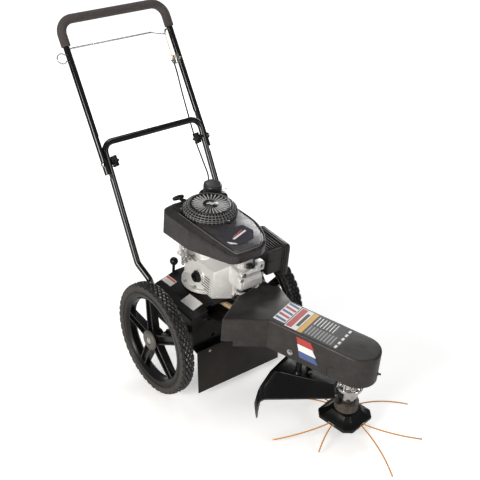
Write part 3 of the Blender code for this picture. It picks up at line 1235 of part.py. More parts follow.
def make_control_cable():
    """Sheathed cable from the bracket to the brake lever, and its bare wire at the bail."""
    to_machine = (Matrix.Translation((0, FOLD_Y, FOLD_Z))
                  @ Matrix.Rotation(UPPER_ANGLE - math.pi / 2, 4, "X"))
    x = UPPER_HALF - TUBE_RADIUS - 0.016
    top = to_machine @ Vector((x, UPPER_OFFSET, BRACKET_HEIGHT - 0.004 - GAP * 2))
    below = to_machine @ Vector((x, UPPER_OFFSET, BRACKET_HEIGHT - 0.040))
    ex, ey, ez = BRAKE_PIVOT
    end_local = Vector((CRANK_X + ex - 0.027, CRANK_Y + ey + 0.0145, DECK_TOP_Z + ez + 0.0015))
    end = chassis_to_machine(end_local)
    route = [tuple(top), tuple(below)] + CABLE_ROUTE + [tuple(end)]
    add("control_cable", tube(smooth_route(route, 0.015), CABLE_RADIUS, 2), BLACK_PLASTIC, machine)
    eye = bail_point(*BAIL_EYE) + Vector((0, UPPER_OFFSET, BAIL_PIVOT))
    start = Vector((x, UPPER_OFFSET, BRACKET_HEIGHT + 0.0045))
    along = (eye - start).normalized()
    finish = eye - along * (BAIL_RADIUS + 0.002)
    wire = tube([tuple(start.lerp(finish, t)) for t in np.linspace(0, 1, 5)], 0.001, 2)
    ferrule = rod(start - along * 0.003, start + along * 0.014, 0.0021, 10)
    stub = rod((x, UPPER_OFFSET, BRACKET_HEIGHT - 0.004 + GAP), tuple(start), 0.0012, 10)
    add("cable_wire", join(ferrule, wire, stub), BRASS, fold)


def place_origin():
    """Shift the machine so that its origin is the bottom centre of its box, without the lines."""
    bpy.context.view_layer.update()
    low = Vector((9, 9, 9))
    high = Vector((-9, -9, -9))
    for piece in parts.objects:
        if piece.type != "MESH" or piece.name.startswith("trimmer_line"):
            continue
        for vertex in piece.data.vertices:
            point = piece.matrix_world @ vertex.co
            low = Vector(map(min, low, point))
            high = Vector(map(max, high, point))
    machine.location = (-(low.x + high.x) / 2, -(low.y + high.y) / 2, -low.z)
    bpy.context.view_layer.update()


make_wheels()
make_cranked_axle()
make_detent_plate()
make_deck()
make_flap()
make_belt_cover()
make_arm_beam()
make_spindle_housing()
make_guard()
make_belt_drive()
make_trimmer_head()
make_lines()
make_engine_block()
make_engine_trim()
make_air_cleaner()
make_engine_cover()
make_recoil_starter()
make_rotating_core()
make_fuel_tank()
make_governor()
make_brake_lever()
make_lower_handle()
make_upper_handle()
make_handle_clamps()
make_bail()
make_cable_bracket()
make_rope_guide()
make_control_cable()
place_origin()
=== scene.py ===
"""Looks of the walk-behind string trimmer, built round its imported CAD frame.

Metres, in the frame of the CAD. The deck, engine, arm and head are tipped nose down by TILT.
"""
import json
import math

import bmesh
import bpy
import numpy as np
from mathutils import Matrix, Vector

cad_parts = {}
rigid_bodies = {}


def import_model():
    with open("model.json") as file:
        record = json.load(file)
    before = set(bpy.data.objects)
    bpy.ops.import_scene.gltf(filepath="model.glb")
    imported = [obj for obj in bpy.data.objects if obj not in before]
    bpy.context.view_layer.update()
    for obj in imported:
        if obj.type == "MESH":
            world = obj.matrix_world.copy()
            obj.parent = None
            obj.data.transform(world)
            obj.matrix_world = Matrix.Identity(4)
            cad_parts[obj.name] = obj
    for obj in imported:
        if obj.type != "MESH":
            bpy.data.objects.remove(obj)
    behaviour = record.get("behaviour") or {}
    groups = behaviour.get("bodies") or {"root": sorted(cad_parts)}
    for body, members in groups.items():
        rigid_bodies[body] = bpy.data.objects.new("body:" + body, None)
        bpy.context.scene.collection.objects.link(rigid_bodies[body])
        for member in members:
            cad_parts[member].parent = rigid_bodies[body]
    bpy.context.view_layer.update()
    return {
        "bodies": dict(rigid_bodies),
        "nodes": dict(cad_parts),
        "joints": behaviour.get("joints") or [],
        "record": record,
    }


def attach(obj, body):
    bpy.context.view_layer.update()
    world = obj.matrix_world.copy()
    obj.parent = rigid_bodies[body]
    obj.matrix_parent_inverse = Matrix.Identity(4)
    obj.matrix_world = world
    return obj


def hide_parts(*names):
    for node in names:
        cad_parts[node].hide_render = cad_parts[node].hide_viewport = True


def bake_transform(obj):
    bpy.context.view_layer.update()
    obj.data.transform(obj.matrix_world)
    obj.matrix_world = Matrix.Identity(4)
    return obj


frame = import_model()
nodes = frame["nodes"]

TILT = math.radians(7.5)
SHIFT = Vector((0.0, 0.0520435, 0.0))
GAP = 0.0003
UP = Vector((0, 0, 1))
FORWARD = Vector((0, -1, 0))
FIT_GAP = 0.0005
FULL_TURN = math.tau
SIDES = (("right", -1), ("left", 1))

# Camera of the photograph
CAMERA_PLACE = Vector((-1.5385, -2.1384, 1.7916)) + SHIFT
CAMERA_AZIMUTH = math.radians(-37.74)
CAMERA_ELEVATION = math.radians(27.12)
CAMERA_ROLL = math.radians(-0.46)
SENSOR_WIDTH = 36
PHOTO_WIDTH = 480
FOCAL_PIXELS = 977.1


def linked(name, data):
    """A new object with this data, in the scene."""
    made = bpy.data.objects.new(name, data)
    bpy.context.scene.collection.objects.link(made)
    return made


def make_camera():
    right = Vector((math.cos(CAMERA_AZIMUTH), math.sin(CAMERA_AZIMUTH), 0))
    ahead = Vector((-math.sin(CAMERA_AZIMUTH), math.cos(CAMERA_AZIMUTH), 0))
    ahead = ahead * math.cos(CAMERA_ELEVATION) - Vector((0, 0, math.sin(CAMERA_ELEVATION)))
    up = right.cross(ahead)
    rolled = right * math.cos(CAMERA_ROLL) + up * math.sin(CAMERA_ROLL)
    up = up * math.cos(CAMERA_ROLL) - right * math.sin(CAMERA_ROLL)
    turn = Matrix((rolled, up, -ahead)).transposed().to_4x4()
    data = bpy.data.cameras.new("camera")
    data.lens = FOCAL_PIXELS / PHOTO_WIDTH * SENSOR_WIDTH
    data.sensor_width = SENSOR_WIDTH
    data.clip_start = 0.05
    data.clip_end = 60
    camera = linked("camera", data)
    camera.matrix_world = Matrix.Translation(CAMERA_PLACE) @ turn
    bpy.context.scene.camera = camera


make_camera()


# Materials
COAT_ROUGHNESS = 0.12


def node(tree, kind, **settings):
    """A shader node; a setting that starts with in_ is the value of an input."""
    made = tree.nodes.new(kind)
    for key, value in settings.items():
        if key.startswith("in_"):
            made.inputs[key[3:].replace("_", " ")].default_value = value
        else:
            setattr(made, key, value)
    return made


def material_of(name):
    """A new material with its node tree and main shader."""
    material = bpy.data.materials.new(name)
    material.use_nodes = True
    return material, material.node_tree, material.node_tree.nodes["Principled BSDF"]


def noise_of(tree, place, scale, detail, rough=0.55):
    made = node(tree, "ShaderNodeTexNoise", in_Scale=scale, in_Detail=detail, in_Roughness=rough)
    tree.links.new(place, made.inputs["Vector"])
    return made.outputs["Fac"]


def ramp_of(tree, factor, low, high, out_low=0.0, out_high=1.0):
    made = node(tree, "ShaderNodeMapRange", in_From_Min=low, in_From_Max=high, in_To_Min=out_low,
            in_To_Max=out_high)
    tree.links.new(factor, made.inputs["Value"])
    return made.outputs["Result"]


def mixed(tree, factor, first, second):
    """Mix two colours, given as sockets or as plain colours."""
    made = node(tree, "ShaderNodeMix", data_type="RGBA")
    tree.links.new(factor, made.inputs["Factor"])
    for name, value in (("A", first), ("B", second)):
        socket = [s for s in made.inputs if s.name == name and s.type == "RGBA"][0]
        if isinstance(value, bpy.types.NodeSocket):
            tree.links.new(value, socket)
        else:
            socket.default_value = (*value, 1.0)
    return [s for s in made.outputs if s.type == "RGBA"][0]


def scaled(colour, amount):
    return tuple(min(1.0, c * amount) for c in colour)


def finish_of(name, colour, rough, *, patch, grain, bump, metal=0.0, patch_scale=14.0, depth=0.0002,
        rough_spread=0.1, dust=0.0, dust_colour=(0.3, 0.28, 0.25), edge=0.0, coat=0.0, sheen=0.0,
        specular=0.3, cells=0.0, stretch=(1, 1, 1)):
    """A procedural finish: patchy colour, dust, uneven gloss, grain and softened edges."""
    material, tree, shader = material_of(name)
    place = node(tree, "ShaderNodeTexCoord").outputs["Object"]
    if stretch != (1, 1, 1):
        mapping = node(tree, "ShaderNodeMapping", in_Scale=stretch)
        tree.links.new(place, mapping.inputs["Vector"])
        place = mapping.outputs["Vector"]
    broad = noise_of(tree, place, patch_scale, 4.0)
    fine = noise_of(tree, place, grain, 2.0)
    tone = mixed(tree, ramp_of(tree, broad, 0.32, 0.68), scaled(colour, 1 - patch), scaled(colour, 1 + patch))
    speck = mixed(tree, ramp_of(tree, fine, 0.35, 0.65, 0.0, 0.5), tone, scaled(colour, 1.0))
    if dust:
        settled = ramp_of(tree, noise_of(tree, place, patch_scale * 3.1, 6.0, 0.7), 0.45, 0.75, 0.0, dust)
        speck = mixed(tree, settled, speck, dust_colour)
    tree.links.new(speck, shader.inputs["Base Color"])
    gloss = ramp_of(tree, noise_of(tree, place, patch_scale * 2.3, 5.0), 0.3, 0.7,
            max(0.02, rough - rough_spread), min(1.0, rough + rough_spread))
    tree.links.new(gloss, shader.inputs["Roughness"])
    for key, value in (("Metallic", metal), ("Specular IOR Level", specular), ("Coat Weight", coat),
            ("Coat Roughness", COAT_ROUGHNESS), ("Sheen Weight", sheen)):
        shader.inputs[key].default_value = value
    height = fine
    if cells:
        voronoi = node(tree, "ShaderNodeTexVoronoi", in_Scale=cells)
        tree.links.new(place, voronoi.inputs["Vector"])
        both = node(tree, "ShaderNodeMath", operation="ADD")
        tree.links.new(fine, both.inputs[0])
        tree.links.new(voronoi.outputs["Distance"], both.inputs[1])
        height = both.outputs[0]
    relief = node(tree, "ShaderNodeBump", in_Strength=bump, in_Distance=depth)
    tree.links.new(height, relief.inputs["Height"])
    if edge:
        rounded = node(tree, "ShaderNodeBevel", samples=4, in_Radius=edge)
        tree.links.new(rounded.outputs["Normal"], relief.inputs["Normal"])
    tree.links.new(relief.outputs["Normal"], shader.inputs["Normal"])
    return material


BLACK_PAINT = finish_of("black_powder_coat", (0.005, 0.0048, 0.0046), 0.3, patch=0.2, grain=620, bump=0.05,
        rough_spread=0.04, edge=0.0012)
TUBE_PAINT = finish_of("black_tube_paint", (0.004, 0.004, 0.0042), 0.13, patch=0.2, grain=500, bump=0.02,
        rough_spread=0.03, specular=0.5)
COVER_PAINT = finish_of("grey_textured_paint", (0.026, 0.0235, 0.0225), 0.38, patch=0.14, grain=1100,
        bump=0.22, dust=0.05, edge=0.001)
WHEEL_PLASTIC = finish_of("wheel_plastic", (0.005, 0.005, 0.005), 0.24, patch=0.2, grain=800, bump=0.04,
        rough_spread=0.05, edge=0.0012)
ENGINE_PLASTIC = finish_of("engine_cover_plastic", (0.026, 0.0235, 0.0245), 0.3, patch=0.12, grain=1500,
        bump=0.25, dust=0.04)
CLEANER_PLASTIC = finish_of("air_cleaner_plastic", (0.03, 0.027, 0.026), 0.42, patch=0.15, grain=1400,
        bump=0.25, dust=0.06, edge=0.0012)
BLACK_PLASTIC = finish_of("black_plastic", (0.0045, 0.0045, 0.0045), 0.26, patch=0.2, grain=1000, bump=0.04,
        rough_spread=0.05, edge=0.0008)
GUARD_PLASTIC = finish_of("guard_plastic", (0.004, 0.004, 0.0042), 0.2, patch=0.2, grain=700, bump=0.015,
        rough_spread=0.03, specular=0.4)
CAP_GREY = finish_of("hub_cap_paint", (0.085, 0.08, 0.074), 0.4, patch=0.2, grain=900, bump=0.2, dust=0.1,
        edge=0.0008)
CAST_METAL = finish_of("cast_aluminium", (0.74, 0.735, 0.72), 0.4, metal=0.4, patch=0.1, patch_scale=30,
        grain=420, bump=0.35, depth=0.0004, dust=0.1, dust_colour=(0.25, 0.23, 0.2), edge=0.0015, cells=260)
STEEL = finish_of("zinc_plated_steel", (0.56, 0.55, 0.52), 0.28, metal=1.0, patch=0.18, patch_scale=40,
        grain=1500, bump=0.1, dust=0.1, dust_colour=(0.3, 0.27, 0.2), edge=0.0005)
DARK_STEEL = finish_of("dark_steel", (0.2, 0.19, 0.18), 0.35, metal=1.0, patch=0.3, patch_scale=30, grain=900,
        bump=0.2, dust=0.2, dust_colour=(0.16, 0.11, 0.07), edge=0.0008)
CHROME = finish_of("chrome", (0.62, 0.61, 0.6), 0.14, metal=1.0, patch=0.25, patch_scale=45, grain=700,
        bump=0.08, dust=0.12, dust_colour=(0.08, 0.08, 0.08), edge=0.0008)
BRASS = finish_of("brass", (0.72, 0.47, 0.16), 0.26, metal=1.0, patch=0.2, patch_scale=60, grain=1500,
        bump=0.1)
FOAM = finish_of("foam_rubber", (0.066, 0.056, 0.055), 0.92, patch=0.15, patch_scale=30, grain=1600, bump=0.7,
        depth=0.0006, sheen=0.15, specular=0.2, cells=1100)
TREAD_RUBBER = finish_of("tread_rubber", (0.012, 0.0115, 0.011), 0.36, patch=0.25, patch_scale=12, grain=700,
        bump=0.2, dust=0.1, dust_colour=(0.09, 0.085, 0.08), specular=0.5)
TYRE_RUBBER = finish_of("tyre_rubber", (0.044, 0.038, 0.033), 0.6, patch=0.2, patch_scale=12, grain=700,
        bump=0.25, dust=0.2, dust_colour=(0.1, 0.09, 0.08))
FLAP_RUBBER = finish_of("flap_rubber", (0.018, 0.015, 0.013), 0.5, patch=0.15, patch_scale=6, grain=500,
        bump=0.25, dust=0.1, dust_colour=(0.09, 0.08, 0.07), edge=0.0006)
BELT_RUBBER = finish_of("belt_cover_cloth", (0.42, 0.3, 0.18), 0.75, patch=0.2, patch_scale=30, grain=1200,
        bump=0.5, dust=0.2, dust_colour=(0.12, 0.09, 0.06))
FILTER_PAPER = finish_of("filter_paper", (0.66, 0.56, 0.36), 0.85, patch=0.1, patch_scale=30, grain=900,
        bump=0.3, stretch=(1, 9, 1))
ROPE_WEAVE = finish_of("rope_weave", (0.42, 0.42, 0.4), 0.8, patch=0.3, patch_scale=120, grain=900, bump=0.7,
        depth=0.0006, cells=900)
NYLON = finish_of("orange_nylon", (0.6, 0.235, 0.006), 0.4, patch=0.1, patch_scale=60, grain=900, bump=0.1)
CABLE_SHEATH = finish_of("cable_sheath", (0.004, 0.004, 0.004), 0.5, patch=0.3, grain=1200, bump=0.15,
        dust=0.05)
SHADOW_BLACK = finish_of("shadowed_plastic", (0.004, 0.004, 0.004), 0.55, patch=0.3, grain=900, bump=0.1,
        specular=0.25)
# Light grey for the starter's black fins: painted highlight on their lit tops
FIN_HIGHLIGHT_PLASTIC = finish_of("fin_painted_highlight", (0.48, 0.475, 0.475), 0.24, patch=0.2, grain=1200, bump=0.08,
        edge=0.0004)
# Light grey bead on the dark shroud: painted highlight of the crease round its tongue
BEAD_HIGHLIGHT_PLASTIC = finish_of("shroud_bead_painted_highlight", (0.13, 0.125, 0.13), 0.26, patch=0.15, grain=1200, bump=0.05)
# Lighter grey for the beads on the black guard: painted highlight along its edges and creases
GUARD_BEAD_HIGHLIGHT = finish_of("guard_bead_painted_highlight", (0.045, 0.044, 0.044), 0.22, patch=0.15, grain=1200, bump=0.05)
CAP_PLASTIC = finish_of("cap_plastic", (0.02, 0.019, 0.021), 0.34, patch=0.25, grain=1200, bump=0.12,
        dust=0.06)
PLATE_GLOSS = finish_of("glossy_plate", (0.03, 0.03, 0.042), 0.1, patch=0.25, patch_scale=30, grain=400,
        bump=0.03, coat=0.6)
EMBLEM_GREY = finish_of("emblem_grey", (0.44, 0.44, 0.45), 0.3, metal=0.6, patch=0.15, patch_scale=60,
        grain=900, bump=0.08)
# Grey for the starter's black glossy grid bars: painted highlight along them
GRID_HIGHLIGHT_PLASTIC = finish_of("grid_painted_highlight", (0.17, 0.168, 0.168), 0.28, patch=0.2, grain=1200, bump=0.08)
COLLAR_GREY = finish_of("collar_paint", (0.062, 0.05, 0.04), 0.38, patch=0.2, grain=900, bump=0.15, dust=0.12,
        edge=0.0006)


def label_of(name, colour):
    """Thin printed film, faintly uneven in colour and gloss."""
    return finish_of(name, colour, 0.32, patch=0.07, patch_scale=50, grain=1800, bump=0.05, dust=0.04,
            rough_spread=0.06)


PALE_LABEL = label_of("pale_film", (0.74, 0.73, 0.72))
GREY_LABEL = label_of("grey_film", (0.24, 0.24, 0.24))
DARK_LABEL = label_of("dark_film", (0.022, 0.022, 0.024))
RED_LABEL = label_of("red_film", (0.42, 0.05, 0.045))
BLUE_LABEL = label_of("blue_film", (0.07, 0.11, 0.26))
AMBER_LABEL = label_of("amber_film", (0.62, 0.36, 0.07))
ORANGE_LABEL = label_of("orange_film", (0.62, 0.13, 0.05))

# Finish of the CAD nodes, shown or not
NODE_FINISHES = ((BLACK_PAINT, "deck_shell arm_beam crank_axle"), (TUBE_PAINT, "lower_handle upper_handle"),
        (COVER_PAINT, "belt_cover"), (FLAP_RUBBER, "debris_flap"), (CHROME, "spindle_housing"),
        (GUARD_PLASTIC, "guard"), (BELT_RUBBER, "drive_belt"), (CABLE_SHEATH, "control_cable"),
        (STEEL, "height_detent_plate spark_plug cable_bracket rope_guide handle_bolt_right handle_bolt_left"),
        (STEEL, "bail spindle_shaft crankshaft starter_reel governor_lever brake_lever"),
        (CAST_METAL, "oil_pan crankcase valve_cover carburettor flywheel"),
        (BLACK_PLASTIC, "spark_plug_boot recoil_housing fuel_tank handle_knob_right handle_knob_left"),
        (BLACK_PLASTIC, "lever_knob trimmer_head skid_cup starter_grip fuel_cap oil_filler_cap"),
        (DARK_STEEL, "muffler driven_pulley drive_pulley"), (ENGINE_PLASTIC, "engine_cover"),
        (CLEANER_PLASTIC, "air_cleaner_base air_cleaner_cover"), (FILTER_PAPER, "air_filter"),
        (ROPE_WEAVE, "starter_rope"), (FOAM, "foam_grip"), (BRASS, "cable_wire"),
        (WHEEL_PLASTIC, "wheel_rim_right wheel_rim_left"), (TYRE_RUBBER, "tyre_right tyre_left"),
        (CAP_GREY, "hub_cap_right hub_cap_left head_spacer"),
        (NYLON, "trimmer_line_1 trimmer_line_2 trimmer_line_3 trimmer_line_4"))
for finish, names in NODE_FINISHES:
    for name in names.split():
        mesh = nodes[name].data
        mesh.materials.clear()
        mesh.materials.append(finish)

# Material slot of the record that each finish shows, where its pieces name no other
SLOT_FINISHES = (("black_paint", (BLACK_PAINT, TUBE_PAINT)),
        ("grey_paint", (COVER_PAINT, CAP_GREY, COLLAR_GREY)), ("wheel_plastic", (WHEEL_PLASTIC,)),
        ("chrome", (CHROME,)), ("brass", (BRASS,)), ("foam", (FOAM,)),
        ("engine_plastic", (ENGINE_PLASTIC, CLEANER_PLASTIC, BEAD_HIGHLIGHT_PLASTIC)), ("steel", (STEEL, DARK_STEEL)),
        ("black_plastic", (BLACK_PLASTIC, GUARD_PLASTIC, SHADOW_BLACK, FIN_HIGHLIGHT_PLASTIC, GUARD_BEAD_HIGHLIGHT, CAP_PLASTIC,
        EMBLEM_GREY, GRID_HIGHLIGHT_PLASTIC, CABLE_SHEATH)), ("cast_aluminium", (CAST_METAL,)),
        ("tyre_rubber", (TREAD_RUBBER, TYRE_RUBBER)), ("flap_rubber", (FLAP_RUBBER,)),
        ("filter_paper", (FILTER_PAPER,)), ("rope", (ROPE_WEAVE,)), ("nylon_line", (NYLON,)))
SLOT_OF = {finish.name: slot for slot, finishes in SLOT_FINISHES for finish in finishes}


def mesh_of(bm, name):
    """The mesh of an edit that is done."""
    mesh = bpy.data.meshes.new(name)
    bm.to_mesh(mesh)
    bm.free()
    return mesh


# Floor, backdrop and light
def camera_share(tree, amount):
    """A strength that only camera rays meet."""
    path = node(tree, "ShaderNodeLightPath")
    times = node(tree, "ShaderNodeMath", operation="MULTIPLY")
    tree.links.new(path.outputs["Is Camera Ray"], times.inputs[0])
    tree.links.new(amount, times.inputs[1])
    return times.outputs[0]


def make_stage():
    bm = bmesh.new()
    bmesh.ops.create_grid(bm, x_segments=1, y_segments=1, size=9)
    mesh = mesh_of(bm, "floor")
    floor = linked("floor", mesh)
    floor.location = (0, 0, -0.0006)
    material, tree, shader = material_of("pale_floor")
    shader.inputs["Base Color"].default_value = (0.86, 0.86, 0.85, 1)
    shader.inputs["Roughness"].default_value = 0.75
    shader.inputs["Specular IOR Level"].default_value = 0.1
    glow = node(tree, "ShaderNodeEmission")
    away = node(tree, "ShaderNodeVectorMath", operation="LENGTH")
    tree.links.new(node(tree, "ShaderNodeTexCoord").outputs["Object"], away.inputs[0])
    amount = ramp_of(tree, away.outputs["Value"], 0.8, 2.4, 0.4, 1.0)
    tree.links.new(camera_share(tree, amount), glow.inputs["Strength"])
    both = node(tree, "ShaderNodeAddShader")
    tree.links.new(shader.outputs[0], both.inputs[0])
    tree.links.new(glow.outputs[0], both.inputs[1])
    tree.links.new(both.outputs[0], tree.nodes["Material Output"].inputs["Surface"])
    mesh.materials.append(material)


def make_world():
    world = bpy.data.worlds.new("studio")
    bpy.context.scene.world = world
    world.use_nodes = True
    tree = world.node_tree
    tree.nodes.clear()
    path = node(tree, "ShaderNodeLightPath")
    plain = node(tree, "ShaderNodeBackground", in_Color=(0.96, 0.98, 1.0, 1), in_Strength=0.18)
    white = node(tree, "ShaderNodeBackground", in_Color=(1, 1, 1, 1), in_Strength=1.0)
    mix = node(tree, "ShaderNodeMixShader")
    out = node(tree, "ShaderNodeOutputWorld")
    tree.links.new(path.outputs["Is Camera Ray"], mix.inputs[0])
    tree.links.new(plain.outputs[0], mix.inputs[1])
    tree.links.new(white.outputs[0], mix.inputs[2])
    tree.links.new(mix.outputs[0], out.inputs["Surface"])


def soft_box(name, place, target, size, watts, colour=(1, 1, 1)):
    data = bpy.data.lights.new(name, "AREA")
    data.shape = "RECTANGLE"
    data.size, data.size_y = size
    data.energy = watts
    data.color = colour
    lamp = linked(name, data)
    lamp.location = place
    aim = Vector(target) - Vector(place)
    lamp.rotation_euler = aim.to_track_quat("-Z", "Y").to_euler()


make_stage()
make_world()
soft_box("key", (-2.7, -0.9, 1.2), (0, 0, 0.35), (1.0, 1.6), 86, (1.0, 0.96, 0.91))
soft_box("front", (0.6, -3.2, 1.9), (0, -0.1, 0.35), (1.6, 1.0), 26)
soft_box("top", (0.3, 0.5, 3.0), (0, 0, 0.3), (1.4, 1.4), 18)
soft_box("rim", (2.4, 1.6, 1.7), (0, 0, 0.5), (0.7, 1.8), 40)
bpy.context.scene.view_settings.view_transform = "Standard"

# Frames of the CAD and the bodies that the pieces ride on, as the part's source sets them
UPPER_ANGLE = math.radians(60.8)
ARM_YAW = math.radians(18)
ENGINE_PLACE = (-0.024, 0.034, 0.315)
ARM_PLACE = (0.104, -0.496, 0.3665)
FOLD_PLACE = (0, 0.2688, 0.655)
PIVOT_Y = -0.0165
PIVOT_Z = 0.2025


def shift(*offset):
    return Matrix.Translation(offset)


def spin(angle, axis="Z"):
    return Matrix.Rotation(angle, 4, axis)


MACHINE = Matrix.Translation(SHIFT)
CHASSIS = MACHINE @ spin(TILT, "X")
ENGINE = CHASSIS @ shift(*ENGINE_PLACE)
ARM = CHASSIS @ shift(*ARM_PLACE) @ spin(ARM_YAW)
FOLD = MACHINE @ shift(*FOLD_PLACE) @ spin(UPPER_ANGLE - math.pi / 2, "X")
PIVOT = CHASSIS @ shift(0, PIVOT_Y, PIVOT_Z) @ spin(-TILT, "X")
ON_MACHINE, ON_CHASSIS, ON_ENGINE, ON_ARM = [("chassis", place) for place in (MACHINE, CHASSIS, ENGINE, ARM)]
ON_HANDLE = ("upper_handle", FOLD)
ON_HEAD = ("head", ARM)


# Mesh helpers
def new_mesh(verts, faces):
    mesh = bpy.data.meshes.new("shape")
    mesh.from_pydata([tuple(v) for v in verts], [], faces)
    bm = bmesh.new()
    bm.from_mesh(mesh)
    bmesh.ops.remove_doubles(bm, verts=bm.verts, dist=1e-6)
    bmesh.ops.recalc_face_normals(bm, faces=bm.faces)
    bm.to_mesh(mesh)
    bm.free()
    return mesh


def loft(rings, capped=True, closed=False):
    """Skin a list of rings that all have the same number of points."""
    count = len(rings[0])
    verts = [p for ring in rings for p in ring]
    faces = []
    pairs = list(zip(range(len(rings)), range(1, len(rings))))
    if closed:
        pairs.append((len(rings) - 1, 0))
    for a, b in pairs:
        for i in range(count):
            j = (i + 1) % count
            faces.append((a * count + i, a * count + j, b * count + j, b * count + i))
    if capped and not closed:
        faces.append(tuple(range(count))[::-1])
        faces.append(tuple(range((len(rings) - 1) * count, len(rings) * count)))
    return new_mesh(verts, faces)


def turns(steps):
    """Even angles round a full turn."""
    return np.linspace(0, FULL_TURN, steps, endpoint=False)


def circle(radius, height, steps):
    return [(radius * math.cos(a), radius * math.sin(a), height) for a in turns(steps)]


def turned(profile, steps, closed=False):
    """A profile of (radius, height) points turned round Z."""
    return loft([circle(radius, height, steps) for radius, height in profile], False, closed)


def tube(points, radius, sides, closed=False):
    """A round bar along a list of points; radius is a number or a list, one for each point."""
    points = [Vector(p) for p in points]
    count = len(points)
    radii = radius if isinstance(radius, (list, tuple, np.ndarray)) else [radius] * count
    if closed:
        ahead = [(points[(i + 1) % count] - points[i - 1]).normalized() for i in range(count)]
    else:
        ahead = [(points[min(i + 1, count - 1)] - points[max(i - 1, 0)]).normalized() for i in range(count)]
    side = ahead[0].orthogonal().normalized()
    rings = []
    for i in range(count):
        if i:
            side = (ahead[i - 1].rotation_difference(ahead[i]) @ side)
            side = (side - ahead[i] * side.dot(ahead[i])).normalized()
        other = ahead[i].cross(side)
        rings.append([points[i] + (side * math.cos(a) + other * math.sin(a)) * radii[i]
                for a in turns(sides)])
    return loft(rings, closed=closed)


def rod(start, end, radius, sides, end_radius=None, edge=0.0):
    """A cylinder or cone between two points, with optional chamfered ends."""
    start = Vector(start)
    end = Vector(end)
    far = radius if end_radius is None else end_radius
    if not edge:
        return tube([start, end], [radius, far], sides)
    along = (end - start).normalized() * edge
    return tube([start, start + along, end - along, end], [radius - edge, radius, far, far - edge], sides)


def block(low, high, edge=0.0, segments=2):
    bm = bmesh.new()
    bmesh.ops.create_cube(bm, size=1.0)
    low = Vector(low)
    high = Vector(high)
    bmesh.ops.scale(bm, vec=high - low, verts=bm.verts)
    bmesh.ops.translate(bm, vec=(low + high) / 2, verts=bm.verts)
    if edge:
        bmesh.ops.bevel(bm, geom=bm.edges[:], offset=edge, segments=segments, affect="EDGES", profile=0.5)
    return mesh_of(bm, "block")


def plate(outline, low, high, edge=0.0, segments=2):
    """A flat outline raised between two heights, its two rims rounded."""
    bm = bmesh.new()
    base = [bm.verts.new((p[0], p[1], low)) for p in outline]
    face = bm.faces.new(base)
    made = bmesh.ops.extrude_face_region(bm, geom=[face])
    top = [v for v in made["geom"] if isinstance(v, bmesh.types.BMVert)]
    bmesh.ops.translate(bm, vec=(0, 0, high - low), verts=top)
    bmesh.ops.recalc_face_normals(bm, faces=bm.faces)
    if edge:
        rims = [e for e in bm.edges if abs(e.verts[0].co.z - e.verts[1].co.z) < 1e-7]
        bmesh.ops.bevel(bm, geom=rims, offset=edge, segments=segments, affect="EDGES", profile=0.5)
    return mesh_of(bm, "plate")


def arc(center, radius, start, end, steps):
    return [(center[0] + radius * math.cos(a), center[1] + radius * math.sin(a))
            for a in np.linspace(start, end, steps + 1)]


def bent(corners, radius, steps):
    """A polyline whose corners are rounded to the given bend radius."""
    corners = [Vector(c) for c in corners]
    points = [corners[0]]
    for before, corner, after in zip(corners, corners[1:], corners[2:]):
        into = (before - corner).normalized()
        out = (after - corner).normalized()
        half = into.angle(out) / 2
        reach = radius / math.tan(half)
        center = corner + (into + out).normalized() * radius / math.sin(half)
        first = corner + into * reach - center
        last = corner + out * reach - center
        axis = first.cross(last).normalized()
        for i in range(steps + 1):
            points.append(center + Matrix.Rotation(first.angle(last) * i / steps, 3, axis) @ first)
    points.append(corners[-1])
    return points


def rounded_outline(points, radius, steps):
    """A closed outline in the plane with its corners rounded."""
    made = []
    count = len(points)
    radii = radius if isinstance(radius, (list, tuple)) else [radius] * count
    for i in range(count):
        three = [(*points[i - 1], 0), (*points[i], 0), (*points[(i + 1) % count], 0)]
        if radii[i] <= 0:
            made.append(tuple(points[i]))
            continue
        made += [(p.x, p.y) for p in bent(three, radii[i], steps)[1:-1]]
    return made


def inset(outline, distances):
    """An anticlockwise outline with each edge moved inwards by its own distance."""
    made = []
    count = len(outline)
    for i in range(count):
        before = Vector(outline[i - 1])
        here = Vector(outline[i])
        after = Vector(outline[(i + 1) % count])
        a = (here - before).normalized()
        b = (after - here).normalized()
        first = here + Vector((-a.y, a.x)) * distances[i - 1]
        second = here + Vector((-b.y, b.x)) * distances[i]
        across = a.x * b.y - a.y * b.x
        if abs(across) < 0.12:
            made.append(tuple((first + second) / 2))
            continue
        gap = second - first
        made.append(tuple(first + a * ((gap.x * b.y - gap.y * b.x) / across)))
    return made


def smooth_route(points, spacing):
    """Even points on a smooth curve through the chosen route points."""
    keys = [Vector(p) for p in points]
    keys = [2 * keys[0] - keys[1]] + keys + [2 * keys[-1] - keys[-2]]
    fine = []
    for a, b, c, d in zip(keys, keys[1:], keys[2:], keys[3:]):
        for t in np.linspace(0, 1, 24, endpoint=False):
            fine.append(0.5 * (2 * b + (c - a) * t + (2 * a - 5 * b + 4 * c - d) * t * t
                    + (3 * b - a - 3 * c + d) * t ** 3))
    fine.append(keys[-2])
    lengths = np.cumsum([0.0] + [(q - p).length for p, q in zip(fine, fine[1:])])
    count = max(2, round(lengths[-1] / spacing))
    wanted = np.linspace(0, lengths[-1], count + 1)
    grid = np.array([tuple(p) for p in fine])
    return [tuple(np.interp(w, lengths, grid[:, k]) for k in range(3)) for w in wanted]


def moved(mesh, offset=(0, 0, 0), turn=None):
    if turn is not None:
        mesh.transform(turn)
    mesh.transform(Matrix.Translation(offset))
    return mesh


def merged(*meshes):
    """Several meshes as one, left as they are."""
    bm = bmesh.new()
    for mesh in meshes:
        bm.from_mesh(mesh)
    return mesh_of(bm, "merged")


